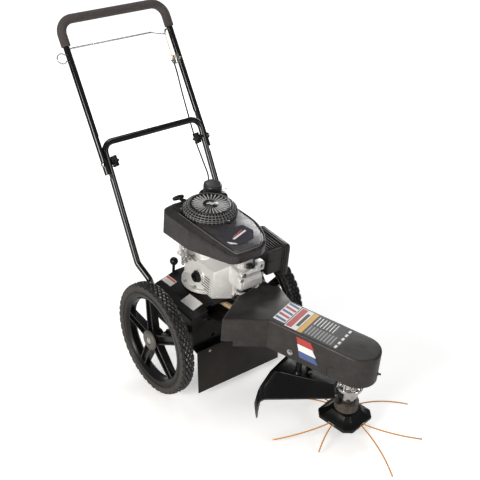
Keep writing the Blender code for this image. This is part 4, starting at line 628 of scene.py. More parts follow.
def evaluated(item, *helpers):
    """The mesh of an object with its modifiers, after which it and its helpers are removed."""
    made = bpy.data.meshes.new_from_object(item.evaluated_get(bpy.context.evaluated_depsgraph_get()))
    for other in helpers + (item,):
        bpy.data.objects.remove(other, do_unlink=True)
    return made


def modified(item, kind, **settings):
    modifier = item.modifiers.new("change", kind)
    for key, value in settings.items():
        setattr(modifier, key, value)
    return item


def cut(base, *others):
    """A mesh with others taken from it by exact Booleans."""
    target = linked("target", base)
    helpers = [linked("tool", mesh) for mesh in others]
    for helper in helpers:
        modified(target, "BOOLEAN", operation="DIFFERENCE", solver="EXACT", object=helper)
    return evaluated(target, *helpers)


def bevelled(mesh, width, segments=2, angle=30):
    """A mesh with its sharp edges rounded."""
    return evaluated(modified(linked("item", mesh), "BEVEL", width=width, segments=segments,
            limit_method="ANGLE", angle_limit=math.radians(angle)))


def thickened(mesh, thickness, offset):
    """A sheet given its thickness."""
    return evaluated(modified(linked("item", mesh), "SOLIDIFY", thickness=thickness, offset=offset,
            use_even_offset=True))


def dressed(name, mesh, finish):
    """An object of this mesh in one smooth finish."""
    mesh.materials.clear()
    mesh.materials.append(finish)
    mesh.polygons.foreach_set("material_index", [0] * len(mesh.polygons))
    mesh.shade_smooth()
    return linked(name, mesh)


def piece(name, mesh, finish, home, replaces=(), slot=None, sharp=38):
    """A finished piece, at home on a body at a place, in the frame of the CAD."""
    body, place = home
    mesh.transform(place)
    made = dressed(name, mesh, finish)
    mesh.set_sharp_from_angle(angle=math.radians(sharp))
    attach(made, body)
    if replaces:
        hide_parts(replaces)
    slot = SLOT_OF.get(finish.name) if slot is None else slot
    return made


def length_of(points):
    return sum((Vector(b) - Vector(a)).length for a, b in zip(points, points[1:]))


def hex_bolt(place, along, size, height, washer=True):
    """A bolt head with its washer, standing on a point and looking along a direction."""
    along = Vector(along).normalized()
    start = Vector(place)
    parts = []
    if washer:
        seat = start + along * (size * 0.16)
        parts.append(rod(start, seat, size * 0.88, 24))
        start = seat
    parts.append(rod(start, start + along * height, size * 0.56, 6, edge=size * 0.06))
    return merged(*parts)


def bolts(name, spots, along, size, height, home, finish=STEEL, slot=None):
    """Bolt heads at several spots, numbered from 1."""
    for k, spot in enumerate(spots):
        piece("%s_%d" % (name, k + 1), hex_bolt(spot, along, size, height), finish, home, (), slot)


def round_bolt(place, along, radius, height):
    """A low round head, as on a carriage bolt."""
    profile = [(radius * math.cos(a), height * math.sin(a)) for a in np.linspace(0, math.pi / 2, 7)]
    head = turned(profile, 24)
    turn = UP.rotation_difference(Vector(along)).to_matrix().to_4x4()
    return moved(head, place, turn)


# Wheels
WHEEL_RADIUS = 0.178
WHEEL_MIDDLE = 0.21
TYRE_HALF = 0.021
BEAD_RADIUS = 0.155
RIM_INNER = 0.1285
RIM_HALF = 0.0185
HUB_RADIUS = 0.029
SPOKES = 5
SPOKE_START = math.radians(78)
TREAD_PITCHES = 46
TREAD_STEPS = 12
TREAD_DEPTH = 0.0036
AXLE_RADIUS = 0.008


def groove(value, width):
    """How deep a point lies in the groove at every whole number, from 0 to 1."""
    away = abs(value - round(value))
    return max(0.0, min(1.0, (width - away) / (width * 0.45)))


def tread_depth(turn, across):
    """Diamond blocks in the middle of the tread and notched lugs on its shoulders."""
    around = turn * TREAD_PITCHES / FULL_TURN
    if abs(across) < 0.0125:
        slant = across / 0.0125
        return TREAD_DEPTH * max(groove(around + slant, 0.17), groove(around - slant, 0.17))
    notch = groove(around + 0.5, 0.19)
    return TREAD_DEPTH * max(notch, groove((abs(across) - 0.0132) / 0.02, 0.04))


def tread_mesh():
    """The band of tread blocks round Z, from shoulder to shoulder."""
    steps = TREAD_PITCHES * TREAD_STEPS
    half = TYRE_HALF - 0.0006
    low = WHEEL_RADIUS - 0.009
    rings = [circle(low, -half, steps)]
    for across in np.linspace(-half, half, 27):
        crown = WHEEL_RADIUS - 0.0045 * (abs(across) / TYRE_HALF) ** 3.2
        reaches = [(crown - tread_depth(a, across), a) for a in turns(steps)]
        rings.append([(reach * math.cos(a), reach * math.sin(a), across) for reach, a in reaches])
    rings.append(circle(low, half, steps))
    return loft(rings, closed=True)


def sidewall_mesh():
    """The body of the tyre under its tread, its two sides ribbed."""
    side = [(BEAD_RADIUS, RIM_HALF), (BEAD_RADIUS + 0.0012, TYRE_HALF - 0.0012),
            (BEAD_RADIUS + 0.0035, TYRE_HALF - 0.0003), (BEAD_RADIUS + 0.0045, TYRE_HALF - 0.001),
            (BEAD_RADIUS + 0.01, TYRE_HALF - 0.0006), (BEAD_RADIUS + 0.0112, TYRE_HALF - 0.0001),
            (WHEEL_RADIUS - 0.0095, TYRE_HALF - 0.0003), (WHEEL_RADIUS - 0.0088, TYRE_HALF - 0.0014)]
    profile = side + [(r, -z) for r, z in side[::-1]]
    return turned(profile, 200, closed=True)


def spoke_mesh():
    """One spoke along +X: a web between two upright ribs that lean together at the rim."""
    rings = []
    for share in np.linspace(0, 1, 7):
        reach = 0.018 + share * (RIM_INNER + 0.004 - 0.018)
        half = 0.0165 - 0.003 * share
        rib = 0.005
        high = 0.015 - 0.0035 * share
        low = 0.004
        section = [(-half, -low - 0.005), (-half, high), (-half + 0.001, high + 0.0008),
                (-half + rib - 0.001, high + 0.0008), (-half + rib, high),
                (-half + rib + 0.0012, low + 0.0005), (half - rib - 0.0012, low + 0.0005), (half - rib, high),
                (half - rib + 0.001, high + 0.0008), (half - 0.001, high + 0.0008), (half, high),
                (half, -low - 0.005)]
        rings.append([(reach, y, z) for y, z in section])
    return loft(rings)


def rim_mesh():
    half = RIM_HALF
    barrel = turned([(BEAD_RADIUS - GAP, half), (BEAD_RADIUS - GAP, -half), (0.14, -half),
            (0.1365, -half + 0.0015), (0.1335, -half + 0.005), (RIM_INNER, -half + 0.0085),
            (RIM_INNER, half - 0.0085), (0.1335, half - 0.005), (0.1365, half - 0.0015), (0.14, half),
            (0.149, half), (0.1498, half - 0.0012), (0.1512, half - 0.0012), (0.152, half)], 160, closed=True)
    bore = AXLE_RADIUS + 0.0008
    hub = turned([(bore, half), (HUB_RADIUS - 0.0015, half), (HUB_RADIUS, half - 0.0015), (HUB_RADIUS, -half),
            (bore, -half)], 64, closed=True)
    spokes = [moved(spoke_mesh(), turn=spin(SPOKE_START + k * FULL_TURN / SPOKES)) for k in range(SPOKES)]
    return merged(barrel, hub, *spokes)


def hub_cap_mesh():
    """Dished cap with a raised ring, its middle open to the axle's end."""
    seat = RIM_HALF + GAP
    top = seat + 0.008
    return turned([(0, top - 0.003), (0.0125, top - 0.003), (0.014, top - 0.001), (0.0175, top - 0.0002),
            (0.0235, top - 0.0002), (0.025, top - 0.0016), (0.0262, top - 0.0016), (0.0274, top - 0.0004),
            (0.03, top - 0.0016), (0.032, top - 0.0046), (0.032, seat), (0, seat)], 72)


def make_wheels():
    for name, side in SIDES:
        place = MACHINE @ shift(side * WHEEL_MIDDLE, 0, WHEEL_RADIUS) @ spin(side * math.pi / 2, "Y")
        body = "wheel_" + name
        piece("tyre_side_" + name, sidewall_mesh(), TYRE_RUBBER, (body, place), "tyre_" + name, sharp=28)
        piece("tyre_tread_" + name, tread_mesh(), TREAD_RUBBER, (body, place), sharp=28)
        piece("rim_spoked_" + name, rim_mesh(), WHEEL_PLASTIC, (body, place), "wheel_rim_" + name)
        piece("hub_disc_" + name, hub_cap_mesh(), CAP_GREY, (body, place), "hub_cap_" + name)
        top = RIM_HALF + GAP + 0.005
        nut = merged(rod((0, 0, top), (0, 0, top + 0.0012), 0.0105, 32),
                rod((0, 0, top + 0.0012), (0, 0, top + 0.0028), 0.0078, 6))
        piece("axle_nut_" + name, nut, STEEL, (body, place))


make_wheels()


# Handles
TUBE_RADIUS = 0.0098
UPPER_HALF = 0.187
LOWER_HALF = 0.1775
UPPER_LENGTH = 0.449
UPPER_TAIL = 0.034
UPPER_OFFSET = 0.0045
LAP_PLANE = (UPPER_HALF + LOWER_HALF) / 2
LAP_ABOVE = 0.085
LAP_BELOW = 0.048
FOAM_RADIUS = 0.0145
FOAM_END = 0.3685
BAIL_RADIUS = 0.0025
BAIL_PIVOT = 0.361
BAIL_REACH = 0.068
BAIL_REST = math.radians(17.6)
BAIL_EYE = (0.149, 0.022, 0.013)
BRACKET_HEIGHT = 0.262
CABLE_RADIUS = 0.0025
DECK_HALF = 0.157


def upper_path(start, end_height):
    """Line of the upper handle, up one leg, over the crossbar and down the other."""
    y = UPPER_OFFSET
    corners = [(-UPPER_HALF, y, start), (-UPPER_HALF, y, end_height), (UPPER_HALF, y, end_height),
            (UPPER_HALF, y, start)]
    return [tuple(p) for p in bent(corners, 0.045, 16)]


def make_upper_handle():
    body = tube(upper_path(-UPPER_TAIL, UPPER_LENGTH), TUBE_RADIUS, 32)
    tools = []
    for _, side in SIDES:
        low = (-0.02 if side > 0 else 0.0, -0.03, -UPPER_TAIL - 0.02)
        high = (0.0 if side > 0 else 0.02, 0.03, LAP_ABOVE)
        tools.append(moved(block(low, high), (side * (LAP_PLANE + GAP / 2), 0, 0)))
    piece("upper_tube", cut(body, *tools), TUBE_PAINT, ON_HANDLE, "upper_handle", sharp=50)
    path = upper_path(FOAM_END, UPPER_LENGTH)
    first = Vector(path[0])
    last = Vector(path[-1])
    lift = Vector((0, 0, 0.0016))
    path = [tuple(first), tuple(first + lift)] + path[1:-1] + [tuple(last + lift), tuple(last)]
    radii = [FOAM_RADIUS - 0.0016] + [FOAM_RADIUS] * (len(path) - 2) + [FOAM_RADIUS - 0.0016]
    foam = piece("foam_sleeve", tube(path, radii, 40), FOAM, ON_HANDLE, "foam_grip", sharp=70)


def make_lower_handle():
    """The bent lower tube, its feet on the deck's sides and its bar between the legs."""
    foot_x = DECK_HALF + TUBE_RADIUS + GAP
    knee = (0.132, 0.368)
    top = (0.292, 0.711)
    corners = []
    for side in (-1, 1):
        leg = [(side * foot_x, 0.045, 0.262), (side * foot_x, 0.087, 0.33), (side * LOWER_HALF, *knee),
                (side * LOWER_HALF, *top)]
        corners += leg if side < 0 else leg[::-1]
    first = bent(corners[0:3], 0.03, 5)[:-1]
    middle = bent([first[-1]] + corners[2:6] + [bent(corners[5:8], 0.03, 5)[1]], 0.032, 10)[1:-1]
    last = bent(corners[5:8], 0.03, 5)[1:]
    body = tube([tuple(p) for p in first + middle + last], TUBE_RADIUS, 32)
    along = Vector((0, top[0] - knee[0], top[1] - knee[1])).normalized()
    tools = []
    for side in (-1, 1):
        flat = block((-0.02 if side < 0 else 0, -0.02, -LAP_BELOW), (0 if side < 0 else 0.02, 0.02, 0.052))
        turn = spin(-math.atan2(along.y, along.z), "X")
        tools.append(moved(flat, (side * (LAP_PLANE - GAP / 2), *FOLD_PLACE[1:]), turn))
    piece("lower_tube", cut(body, *tools), TUBE_PAINT, ON_MACHINE, "lower_handle", sharp=50)
    for name, side in SIDES:
        out = side * (foot_x + TUBE_RADIUS - 0.0006)
        bolts("foot_bolt_" + name, ((out, 0.052, 0.273), (out, 0.079, 0.317)), (side, 0, 0), 0.0095, 0.004,
                ON_MACHINE)


def make_handle_knobs():
    """Lobed clamp knobs inside the legs and round bolt heads outside them."""
    inner = LOWER_HALF - TUBE_RADIUS - GAP
    for name, side in SIDES:
        place = MACHINE @ shift(side * inner, *FOLD_PLACE[1:]) @ spin(-side * math.pi / 2, "Y")
        outline = []
        for a in turns(96):
            reach = 0.0155 + 0.0034 * math.tanh(2.2 * math.cos(6 * a))
            outline.append((reach * math.cos(a), reach * math.sin(a)))
        head = plate(outline, 0.0075, 0.0208, 0.0022, 3)
        neck = turned([(0.0042, GAP), (0.0098, GAP), (0.01, 0.0075), (0.0042, 0.0075)], 40, closed=True)
        boss = turned([(0.0062, 0.02), (0.009, 0.0208), (0.0096, 0.0196), (0.0098, 0.0185)], 40)
        piece("clamp_knob_" + name, merged(head, neck, boss), BLACK_PLASTIC, ("knob_" + name, place),
                "handle_knob_" + name)
        outer = UPPER_HALF + TUBE_RADIUS + GAP
        bolt = merged(rod((side * (inner - 0.0168), 0, 0), (side * outer, 0, 0), 0.0029, 20),
                round_bolt((side * outer, 0, 0), (side, 0, 0), 0.0088, 0.0038),
                rod((side * (outer - 0.0002), 0, 0), (side * (outer + 0.0008), 0, 0), 0.0089, 32))
        piece("clamp_bolt_" + name, bolt, STEEL, ON_HANDLE, "handle_bolt_" + name)


def bail_point(x, reach, drop=0.0):
    """A point of the released bail: reach forward of its pivots, drop towards the cable."""
    forward = Vector((0, -math.cos(BAIL_REST), math.sin(BAIL_REST)))
    down = Vector((0, -math.cos(UPPER_ANGLE), -math.sin(UPPER_ANGLE)))
    local = Matrix.Rotation(math.pi / 2 - UPPER_ANGLE, 3, "X") @ (forward * reach + down * drop)
    return Vector((x, local.y + UPPER_OFFSET, local.z + BAIL_PIVOT))


def make_bail():
    pin = UPPER_HALF - 0.004
    corners = [bail_point(-pin, 0), bail_point(-0.168, 0), bail_point(-0.128, BAIL_REACH),
            bail_point(0.072, BAIL_REACH), bail_point(0.128, 0.034, 0.01), bail_point(*BAIL_EYE),
            bail_point(0.168, 0), bail_point(pin, 0)]
    body = tube([tuple(p) for p in bent(corners, 0.006, 8)], BAIL_RADIUS, 16)
    piece("bail_wire", body, STEEL, ("bail", FOLD), "bail", sharp=60)


def make_cable():
    """The sheathed cable with its end fittings, and the bare wire up to the bail."""
    x = UPPER_HALF - TUBE_RADIUS - 0.016
    top = FOLD @ Vector((x, UPPER_OFFSET, BRACKET_HEIGHT - 0.004 - GAP * 2))
    below = FOLD @ Vector((x, UPPER_OFFSET, BRACKET_HEIGHT - 0.04))
    end = ENGINE @ Vector((0.01 - 0.027, 0.092 + 0.0145, 0.07 + 0.0015))
    route = [tuple(top), tuple(below)] + [tuple(MACHINE @ Vector(p)) for p in CABLE_ROUTE] + [tuple(end)]
    points = smooth_route(route, 0.006)
    cable = dressed("control_cable_sheath", tube(points, CABLE_RADIUS, 16), CABLE_SHEATH)
    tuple(route[5])
    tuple(route[2])
    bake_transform(cable)
    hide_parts("control_cable")
    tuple(route[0])
    length_of(points)
    eye = bail_point(*BAIL_EYE)
    start = Vector((x, UPPER_OFFSET, BRACKET_HEIGHT + 0.0045))
    along = (eye - start).normalized()
    finish = eye - along * (BAIL_RADIUS + 0.002)
    wire = tube([start.lerp(finish, t) for t in np.linspace(0, 1, 5)], 0.001, 10)
    barrel = turned_between(start - along * 0.003, start + along * 0.014,
            [(0.0, 0.0016), (0.06, 0.0021), (0.55, 0.0021), (0.62, 0.0016), (1.0, 0.0014)])
    hook = tube([finish + along * 0.0005, finish + along * 0.002], 0.0018, 12)
    piece("cable_core", merged(wire, barrel, hook), BRASS, ON_HANDLE, "cable_wire")


def turned_between(start, end, shares):
    """A round piece along a line whose radius changes at the given shares of its length."""
    return tube([start.lerp(end, s) for s, _ in shares], [r for _, r in shares], 20)


# Route of the control cable below its bracket, in machine coordinates, as in the part's source
CABLE_ROUTE = [(0.1591, 0.3528, 0.7859), (0.1596, 0.3195, 0.7107), (0.1628, 0.304, 0.6665),
        (0.1662, 0.2879, 0.6227), (0.1703, 0.2625, 0.5731), (0.173, 0.238, 0.52), (0.145, 0.222, 0.47),
        (0.085, 0.19, 0.435)]


def make_bracket_trim():
    """Screw and adjuster of the cable clip."""
    inner = UPPER_HALF - TUBE_RADIUS - 0.01
    screw = round_bolt((UPPER_HALF - 0.0035, UPPER_OFFSET - 0.0092, BRACKET_HEIGHT), (0, -1, 0), 0.0042,
            0.0022)
    nut = rod((inner - 0.006, UPPER_OFFSET, BRACKET_HEIGHT - 0.01),
            (inner - 0.006, UPPER_OFFSET, BRACKET_HEIGHT - 0.0046), 0.0052, 6)
    piece("clip_screw", screw, STEEL, ON_HANDLE)
    piece("cable_adjuster", nut, STEEL, ON_HANDLE)


def make_rope_guide():
    start = -UPPER_HALF - TUBE_RADIUS - GAP
    middle = BAIL_PIVOT - 0.025
    mouth = math.radians(38)
    center = start - 0.003 - 0.0155 * math.cos(mouth)
    loop = arc((center, middle), 0.0155, mouth, FULL_TURN - mouth, 36)
    points = [(start, loop[0][1])] + loop + [(start, loop[-1][1])]
    points = [(x, UPPER_OFFSET, z) for x, z in points]
    piece("rope_eye", tube(points, 0.0019, 16), STEEL, ON_HANDLE, "rope_guide", sharp=60)


make_cable()
make_upper_handle()
make_lower_handle()
make_handle_knobs()
make_bail()
make_bracket_trim()
make_rope_guide()


# Deck, axle, belt cover and arm
DECK_FLAT = 0.07
DECK_TOP = 0.315
DECK_SHOULDER = 0.2885
DECK_BOTTOM = 0.19
DECK_FRONT = -0.081
DECK_REAR = 0.128
DECK_SHEET = 0.003
DECK_LIP = 0.018
BELT_SLOT = (-0.1, 0.07, 0.2695)
FLAP_SIZE = (0.312, 0.003, 0.148)
LEVER_X = -0.073
LEVER_TOP = 0.3325
NOSE_REACH = 0.0125
ARM_HALF = 0.06
ARM_SIDE = 0.097
ARM_LENGTH = 0.249
COVER_SHEET = 0.002
COVER_EDGE = 0.006
COVER_CORNER = 0.0035
NEAR_CORNER = (-0.143, 0.357)
FAR_CORNER = (0.101, 0.317)
COVER_STEP = (0.018, 0.03)
BAND_SHEAR = 0.66
FRONT_LEAN = math.tan(TILT)


def front_panel(x, z, out=0.0):
    """A point on the deck's front panel, in the chassis frame."""
    return Vector((x, DECK_FRONT - FRONT_LEAN * (DECK_TOP - z) - out, z))


def make_deck():
    """The folded sheet with its bends rounded, and the bolts and washers on it."""
    section = [(-DECK_HALF, DECK_BOTTOM), (-DECK_HALF, DECK_SHOULDER), (-DECK_FLAT, DECK_TOP),
            (DECK_FLAT, DECK_TOP), (DECK_HALF, DECK_SHOULDER), (DECK_HALF, DECK_BOTTOM)]
    bm = bmesh.new()
    front = [bm.verts.new(front_panel(x, z)) for x, z in section]
    rear = [bm.verts.new((x, DECK_REAR, z)) for x, z in section]
    for i in range(len(section) - 1):
        bm.faces.new((front[i], front[i + 1], rear[i + 1], rear[i]))
    bm.faces.new(front[::-1])
    lip = [bm.verts.new(front_panel(x, DECK_BOTTOM, DECK_LIP)) for x in (DECK_HALF, -DECK_HALF)]
    bm.faces.new((front[-1], front[0], lip[1], lip[0]))
    bends = [e for e in bm.edges if len(e.link_faces) == 2]
    bmesh.ops.bevel(bm, geom=bends, offset=0.0035, segments=3, affect="EDGES", profile=0.5)
    sheet = thickened(mesh_of(bm, "sheet"), DECK_SHEET, -1.0)
    left, right, low = BELT_SLOT
    slot = block((left, DECK_FRONT - 0.04, low), (right, DECK_FRONT + 0.012, DECK_TOP - DECK_SHEET - 0.001))
    x, y, _ = ENGINE_PLACE
    shaft = rod((x, y, DECK_TOP - 0.02), (x, y, DECK_TOP + 0.02), 0.04, 48)
    axle = rod((-0.2, PIVOT_Y, PIVOT_Z), (0.2, PIVOT_Y, PIVOT_Z), 0.0088, 32)
    piece("deck_body", cut(sheet, slot, shaft, axle), BLACK_PAINT, ON_CHASSIS, "deck_shell", sharp=34)
    toward = front_panel(0, 0, 1) - front_panel(0, 0)
    corners = ((-0.1136, 0.2823), (-0.082, 0.2118), (0.1136, 0.2823), (0.082, 0.2118))
    bolts("front_bolt", [front_panel(x, z) for x, z in corners], toward, 0.0085, 0.0042, ON_CHASSIS,
            BLACK_PLASTIC, "steel")
    for name, side in SIDES:
        for k, y in enumerate((-0.04, 0.088)):
            rivet = round_bolt((side * (DECK_HALF - 0.0004), y, 0.236), (side, 0, 0), 0.006, 0.0028)
            piece("side_rivet_%s_%d" % (name, k + 1), rivet, BLACK_PAINT, ON_CHASSIS)
    bolts("engine_bolt", [(0.048, y, DECK_TOP) for y in (0.1, -0.042)], UP, 0.01, 0.005, ON_CHASSIS)


def deck_height(x):
    """Height of the deck's top at a distance from its middle."""
    fall = (DECK_TOP - DECK_SHOULDER) / (DECK_HALF - DECK_FLAT)
    return DECK_TOP - fall * max(0.0, abs(x) - DECK_FLAT)


def deck_up(x):
    if abs(x) <= DECK_FLAT:
        return Vector((0, 0, 1))
    return Vector((math.copysign(DECK_TOP - DECK_SHOULDER, x), 0, DECK_HALF - DECK_FLAT)).normalized()


def rectangle(left, low, right, high):
    return [(left, low), (right, low), (right, high), (left, high)]


def panel(name, corners, finish, lift, radius, home=ON_ARM, low=-0.0001, steps=3):
    """A thin film of colour on a surface, its corners rounded."""
    piece(name, plate(rounded_outline(corners, radius, steps), low, lift), finish, home)


def make_labels():
    """Two plain plates on the deck's sloping shoulder, without lettering."""
    places = ((-0.1105, 0.104, 0.026, 0.046, 4), (-0.115, -0.021, 0.037, 0.062, 3))
    for k, (x, y, width, length, angle) in enumerate(places):
        up = deck_up(x)
        across = Vector((up.z, 0, -up.x))
        turn = Matrix((across, Vector((0, 1, 0)), up)).transposed().to_4x4() @ spin(math.radians(angle))
        home = ("chassis", CHASSIS @ shift(x, y, deck_height(x)) @ turn)
        panel("plain_label_%d" % (k + 1), rectangle(-width / 2, -length / 2, width / 2, length / 2),
                PALE_LABEL, 0.0003, 0.0015, home, steps=4)
        if k == 0:
            band = rectangle(width * 0.16, -length / 2 + 0.002, width / 2 - 0.002, length / 2 - 0.002)
            panel("label_band", band, ORANGE_LABEL, 0.0004, 0.0006, home, low=0.0002)


def make_flap():
    """The rubber flap with its screws."""
    lip = MACHINE.inverted() @ CHASSIS @ front_panel(0, DECK_BOTTOM, DECK_LIP)
    width, thick, height = FLAP_SIZE
    back = lip.y - GAP
    top = lip.z + 0.003
    sheet = block((-width / 2, back - thick, top - height), (width / 2, back, top), 0.0007, 2)
    piece("flap_sheet", sheet, FLAP_RUBBER, ON_MACHINE, "debris_flap")
    for k, x in enumerate((-0.1106, 0.0, 0.1106)):
        screw = round_bolt((x, back - thick + 0.0003, lip.z - 0.0085), (0, -1, 0), 0.0048, 0.0024)
        piece("flap_screw_%d" % (k + 1), screw, STEEL, ON_MACHINE)


def make_cranked_axle():
    """The cross tube, its two cranks and stub axles, and the lever with its knob."""
    pivot = PIVOT.inverted() @ (MACHINE @ Vector((0, 0, WHEEL_RADIUS)))
    wheel = Vector((0, pivot.y, pivot.z))
    arm_start = DECK_HALF + 0.002
    arm_end = arm_start + 0.007
    stub_end = WHEEL_MIDDLE + RIM_HALF
    parts = [rod((-arm_end, 0, 0), (arm_end, 0, 0), AXLE_RADIUS, 32, edge=0.0008)]
    length = wheel.length
    turn = spin(math.atan2(wheel.z, wheel.y), "X")
    upright = Matrix(((0, 0, 1, 0), (1, 0, 0, 0), (0, 1, 0, 0), (0, 0, 0, 1)))
    for side in (-1, 1):
        outline = arc((0, 0), 0.012, math.pi / 2, 3 * math.pi / 2, 20)
        outline += arc((length, 0), 0.012, -math.pi / 2, math.pi / 2, 20)
        crank = plate(outline, min(side * arm_start, side * arm_end), max(side * arm_start, side * arm_end),
                0.001, 2)
        parts.append(moved(crank, turn=turn @ upright))
        parts.append(rod((side * (arm_start + 0.001), wheel.y, wheel.z), (side * stub_end, wheel.y, wheel.z),
                AXLE_RADIUS, 32, edge=0.0006))
    back = DECK_REAR - PIVOT_Y + 0.0045 + 0.003
    low = DECK_TOP - PIVOT_Z
    tilt = Matrix.Rotation(TILT, 3, "X")
    route = [(LEVER_X, 0, 0), (LEVER_X, back, low * 0.25), (LEVER_X, back, LEVER_TOP - PIVOT_Z)]
    parts.append(tube([tilt @ Vector(p) for p in bent(route, 0.02, 10)], 0.0045, 20))
    piece("axle_and_lever", merged(*parts), BLACK_PAINT, ("axle", PIVOT), "crank_axle", sharp=40)
    center = tilt @ Vector((LEVER_X, back, LEVER_TOP - PIVOT_Z + 0.0115))
    along = tilt @ Vector((0, 0, 1))
    profile = [(0.0047, -0.0125), (0.0068, -0.0122), (0.007, -0.0098)]
    profile += [(0.013 * math.sin(a), -0.013 * math.cos(a)) for a in np.linspace(0.72, math.pi - 0.02, 26)]
    profile += [(0.0, 0.013)]
    knob = turned(profile, 48)
    knob.transform(Matrix.Translation(center) @ UP.rotation_difference(along).to_matrix().to_4x4())
    piece("lever_ball", knob, BLACK_PLASTIC, ("axle", PIVOT), "lever_knob", sharp=50)


def cover_ring(height, amount):
    """A closed line round the belt cover at one height, drawn in from its outer face by an amount."""
    nose = arc((0, -NOSE_REACH), ARM_HALF, math.pi, FULL_TURN, 48)
    corners = [(ARM_HALF, ARM_LENGTH), FAR_CORNER, (0.07, 0.37), (-0.02, 0.385), NEAR_CORNER,
            (-ARM_HALF, ARM_LENGTH)]
    points = nose + corners
    points = inset(points, [amount] * len(points))
    convex = max(0.0005, COVER_CORNER - amount)
    radii = [0.0] * len(nose) + [COVER_CORNER + amount] + [convex] * 4 + [COVER_CORNER + amount]
    return [(x, y, height) for x, y in rounded_outline(points, radii, 6)]


def make_belt_cover():
    """The pressed cover: rounded rim, open underside, stepped near end and a slit by the spindle."""
    rings = [cover_ring(-ARM_SIDE, 0.0)]
    for a in np.linspace(0, math.pi / 2, 7):
        rings.append(cover_ring(-COVER_EDGE * (1 - math.sin(a)), COVER_EDGE * (1 - math.cos(a))))
    shell = loft(rings)
    inner = [(x, y) for x, y, _ in cover_ring(0.0, COVER_SHEET)]
    far = min(inner, key=lambda p: (p[0] - FAR_CORNER[0]) ** 2 + (p[1] - FAR_CORNER[1]) ** 2)
    near = min(inner, key=lambda p: (p[0] - NEAR_CORNER[0]) ** 2 + (p[1] - NEAR_CORNER[1]) ** 2)
    first = inner.index(far)
    last = inner.index(near)
    open_rear = (inner[:first + 1] + [(far[0], far[1] + 0.12), (near[0], near[1] + 0.1)] + inner[last:])
    hollow = plate(open_rear, -ARM_SIDE - 0.01, -COVER_EDGE)
    near_x, near_y = NEAR_CORNER
    step_height, step_length = COVER_STEP
    step = block((near_x - 0.02, near_y - step_length, -ARM_SIDE - 0.01),
            (near_x + 0.045, near_y + 0.02, step_height - ARM_SIDE))
    piece("cover_shell", cut(shell, hollow, step), COVER_PAINT, ON_ARM, "belt_cover", sharp=28)
    line = bent([(0.031, -0.06, 0), (0.052, -0.062, 0), (0.05, -0.097, 0)], 0.01, 8)
    slit = tube([(-ARM_HALF + 0.0001, p.x, p.y) for p in line], 0.0007, 8)
    piece("cover_slit", slit, SHADOW_BLACK, ON_ARM, slot="")
    for name, side in (("near", -1), ("far", 1)):
        bolt = hex_bolt((side * ARM_HALF, 0.1717, -0.0755), (side, 0, 0), 0.0105, 0.003)
        piece("cover_bolt_" + name, bolt, STEEL, ON_ARM)
    angle = math.radians(-70)
    start = Vector((ARM_HALF * math.cos(angle), ARM_HALF * math.sin(angle) - NOSE_REACH, -0.079))
    along = Vector((math.cos(angle), math.sin(angle), 0))
    pin = merged(rod(start, start + along * 0.0085, 0.0026, 20, edge=0.0005),
            rod(start, start + along * 0.002, 0.0048, 24, edge=0.0003))
    piece("nose_pin", pin, BLACK_PLASTIC, ON_ARM)


def make_cover_art():
    """Plain blocks of colour along the top of the cover and on its near side."""
    half = 0.0515
    for name, finish, low, high, left, right, lift, radius in (("back", DARK_LABEL, 0.0355, 0.149, -half,
            half, 0.0003, 0.0012), ("amber", AMBER_LABEL, 0.1495, 0.165, -half, half, 0.0003, 0.0012),
            ("pale", PALE_LABEL, 0.166, 0.2055, -half, half, 0.0003, 0.0012),
            ("red", RED_LABEL, 0.185, 0.203, -half + 0.003, half - 0.003, 0.0005, 0.0012),
            ("dark_band", DARK_LABEL, 0.1695, 0.1795, -half + 0.02, half - 0.016, 0.0005, 0.0008),
            ("stripes", PALE_LABEL, 0.2085, 0.249, -half + 0.008, half, 0.0003, 0.0012)):
        panel("panel_" + name, rectangle(left, low, right, high), finish, lift, radius)
    for k in range(5):
        low = -half + 0.012 + k * 0.0185
        panel("panel_stripe_%d" % (k + 1), [(low, 0.2105), (low + 0.0095, 0.2105), (low + 0.0155, 0.247),
                (low + 0.006, 0.247)], RED_LABEL if k % 2 else BLUE_LABEL, 0.0005, 0.0008)
    for name, count, left, right, rise, finish in (("a", 9, -0.046, -0.004, 0.0026, GREY_LABEL),
            ("b", 7, 0.004, 0.045, 0.0014, PALE_LABEL)):
        for k in range(count):
            y = 0.1405 - k * 0.01
            panel("panel_line_%s%d" % (name, k + 1), rectangle(left, y - rise, right, y + rise), finish,
                    0.0005, 0.0004)
    for k in range(5):
        x = -0.042 + k * 0.0205
        panel("panel_square_%d" % (k + 1), rectangle(x - 0.0062, 0.0395, x + 0.0062, 0.0465), PALE_LABEL,
                0.0005, 0.0008)
    upright = Matrix(((0, 0, -1, 0), (1, 0, 0, 0), (0, 1, 0, 0), (0, 0, 0, 1)))
    place = ARM @ shift(-ARM_HALF, 0, 0) @ upright
    for name, finish, share in (("side_red", RED_LABEL, 0.0), ("side_pale", PALE_LABEL, 0.34),
            ("side_blue", BLUE_LABEL, 0.67)):
        top = -0.012 - share * 0.066
        low = top - 0.0215
        left = 0.158 - (share * 0.066) * 0.25
        right = left - 0.046 - share * 0.01
        outline = [(right - BAND_SHEAR * 0.022, low), (left - BAND_SHEAR * 0.01, low), (left, top),
                (right, top)]
        panel(name, outline, finish, 0.0003, 0.0008, ("chassis", place))


def make_arm_beam():
    top = FIT_GAP - ARM_SIDE + 0.006
    half = ARM_HALF - COVER_SHEET - FIT_GAP
    nose = arc((0, 0), half, math.pi, FULL_TURN, 40)
    outline = nose + [(half, 0.49), (-half, 0.49)]
    piece("beam_plate", plate(outline, top - 0.006, top, 0.0008), BLACK_PAINT, ON_ARM, "arm_beam")


make_deck()
make_labels()
make_flap()
make_cranked_axle()
make_belt_cover()
make_cover_art()
make_arm_beam()


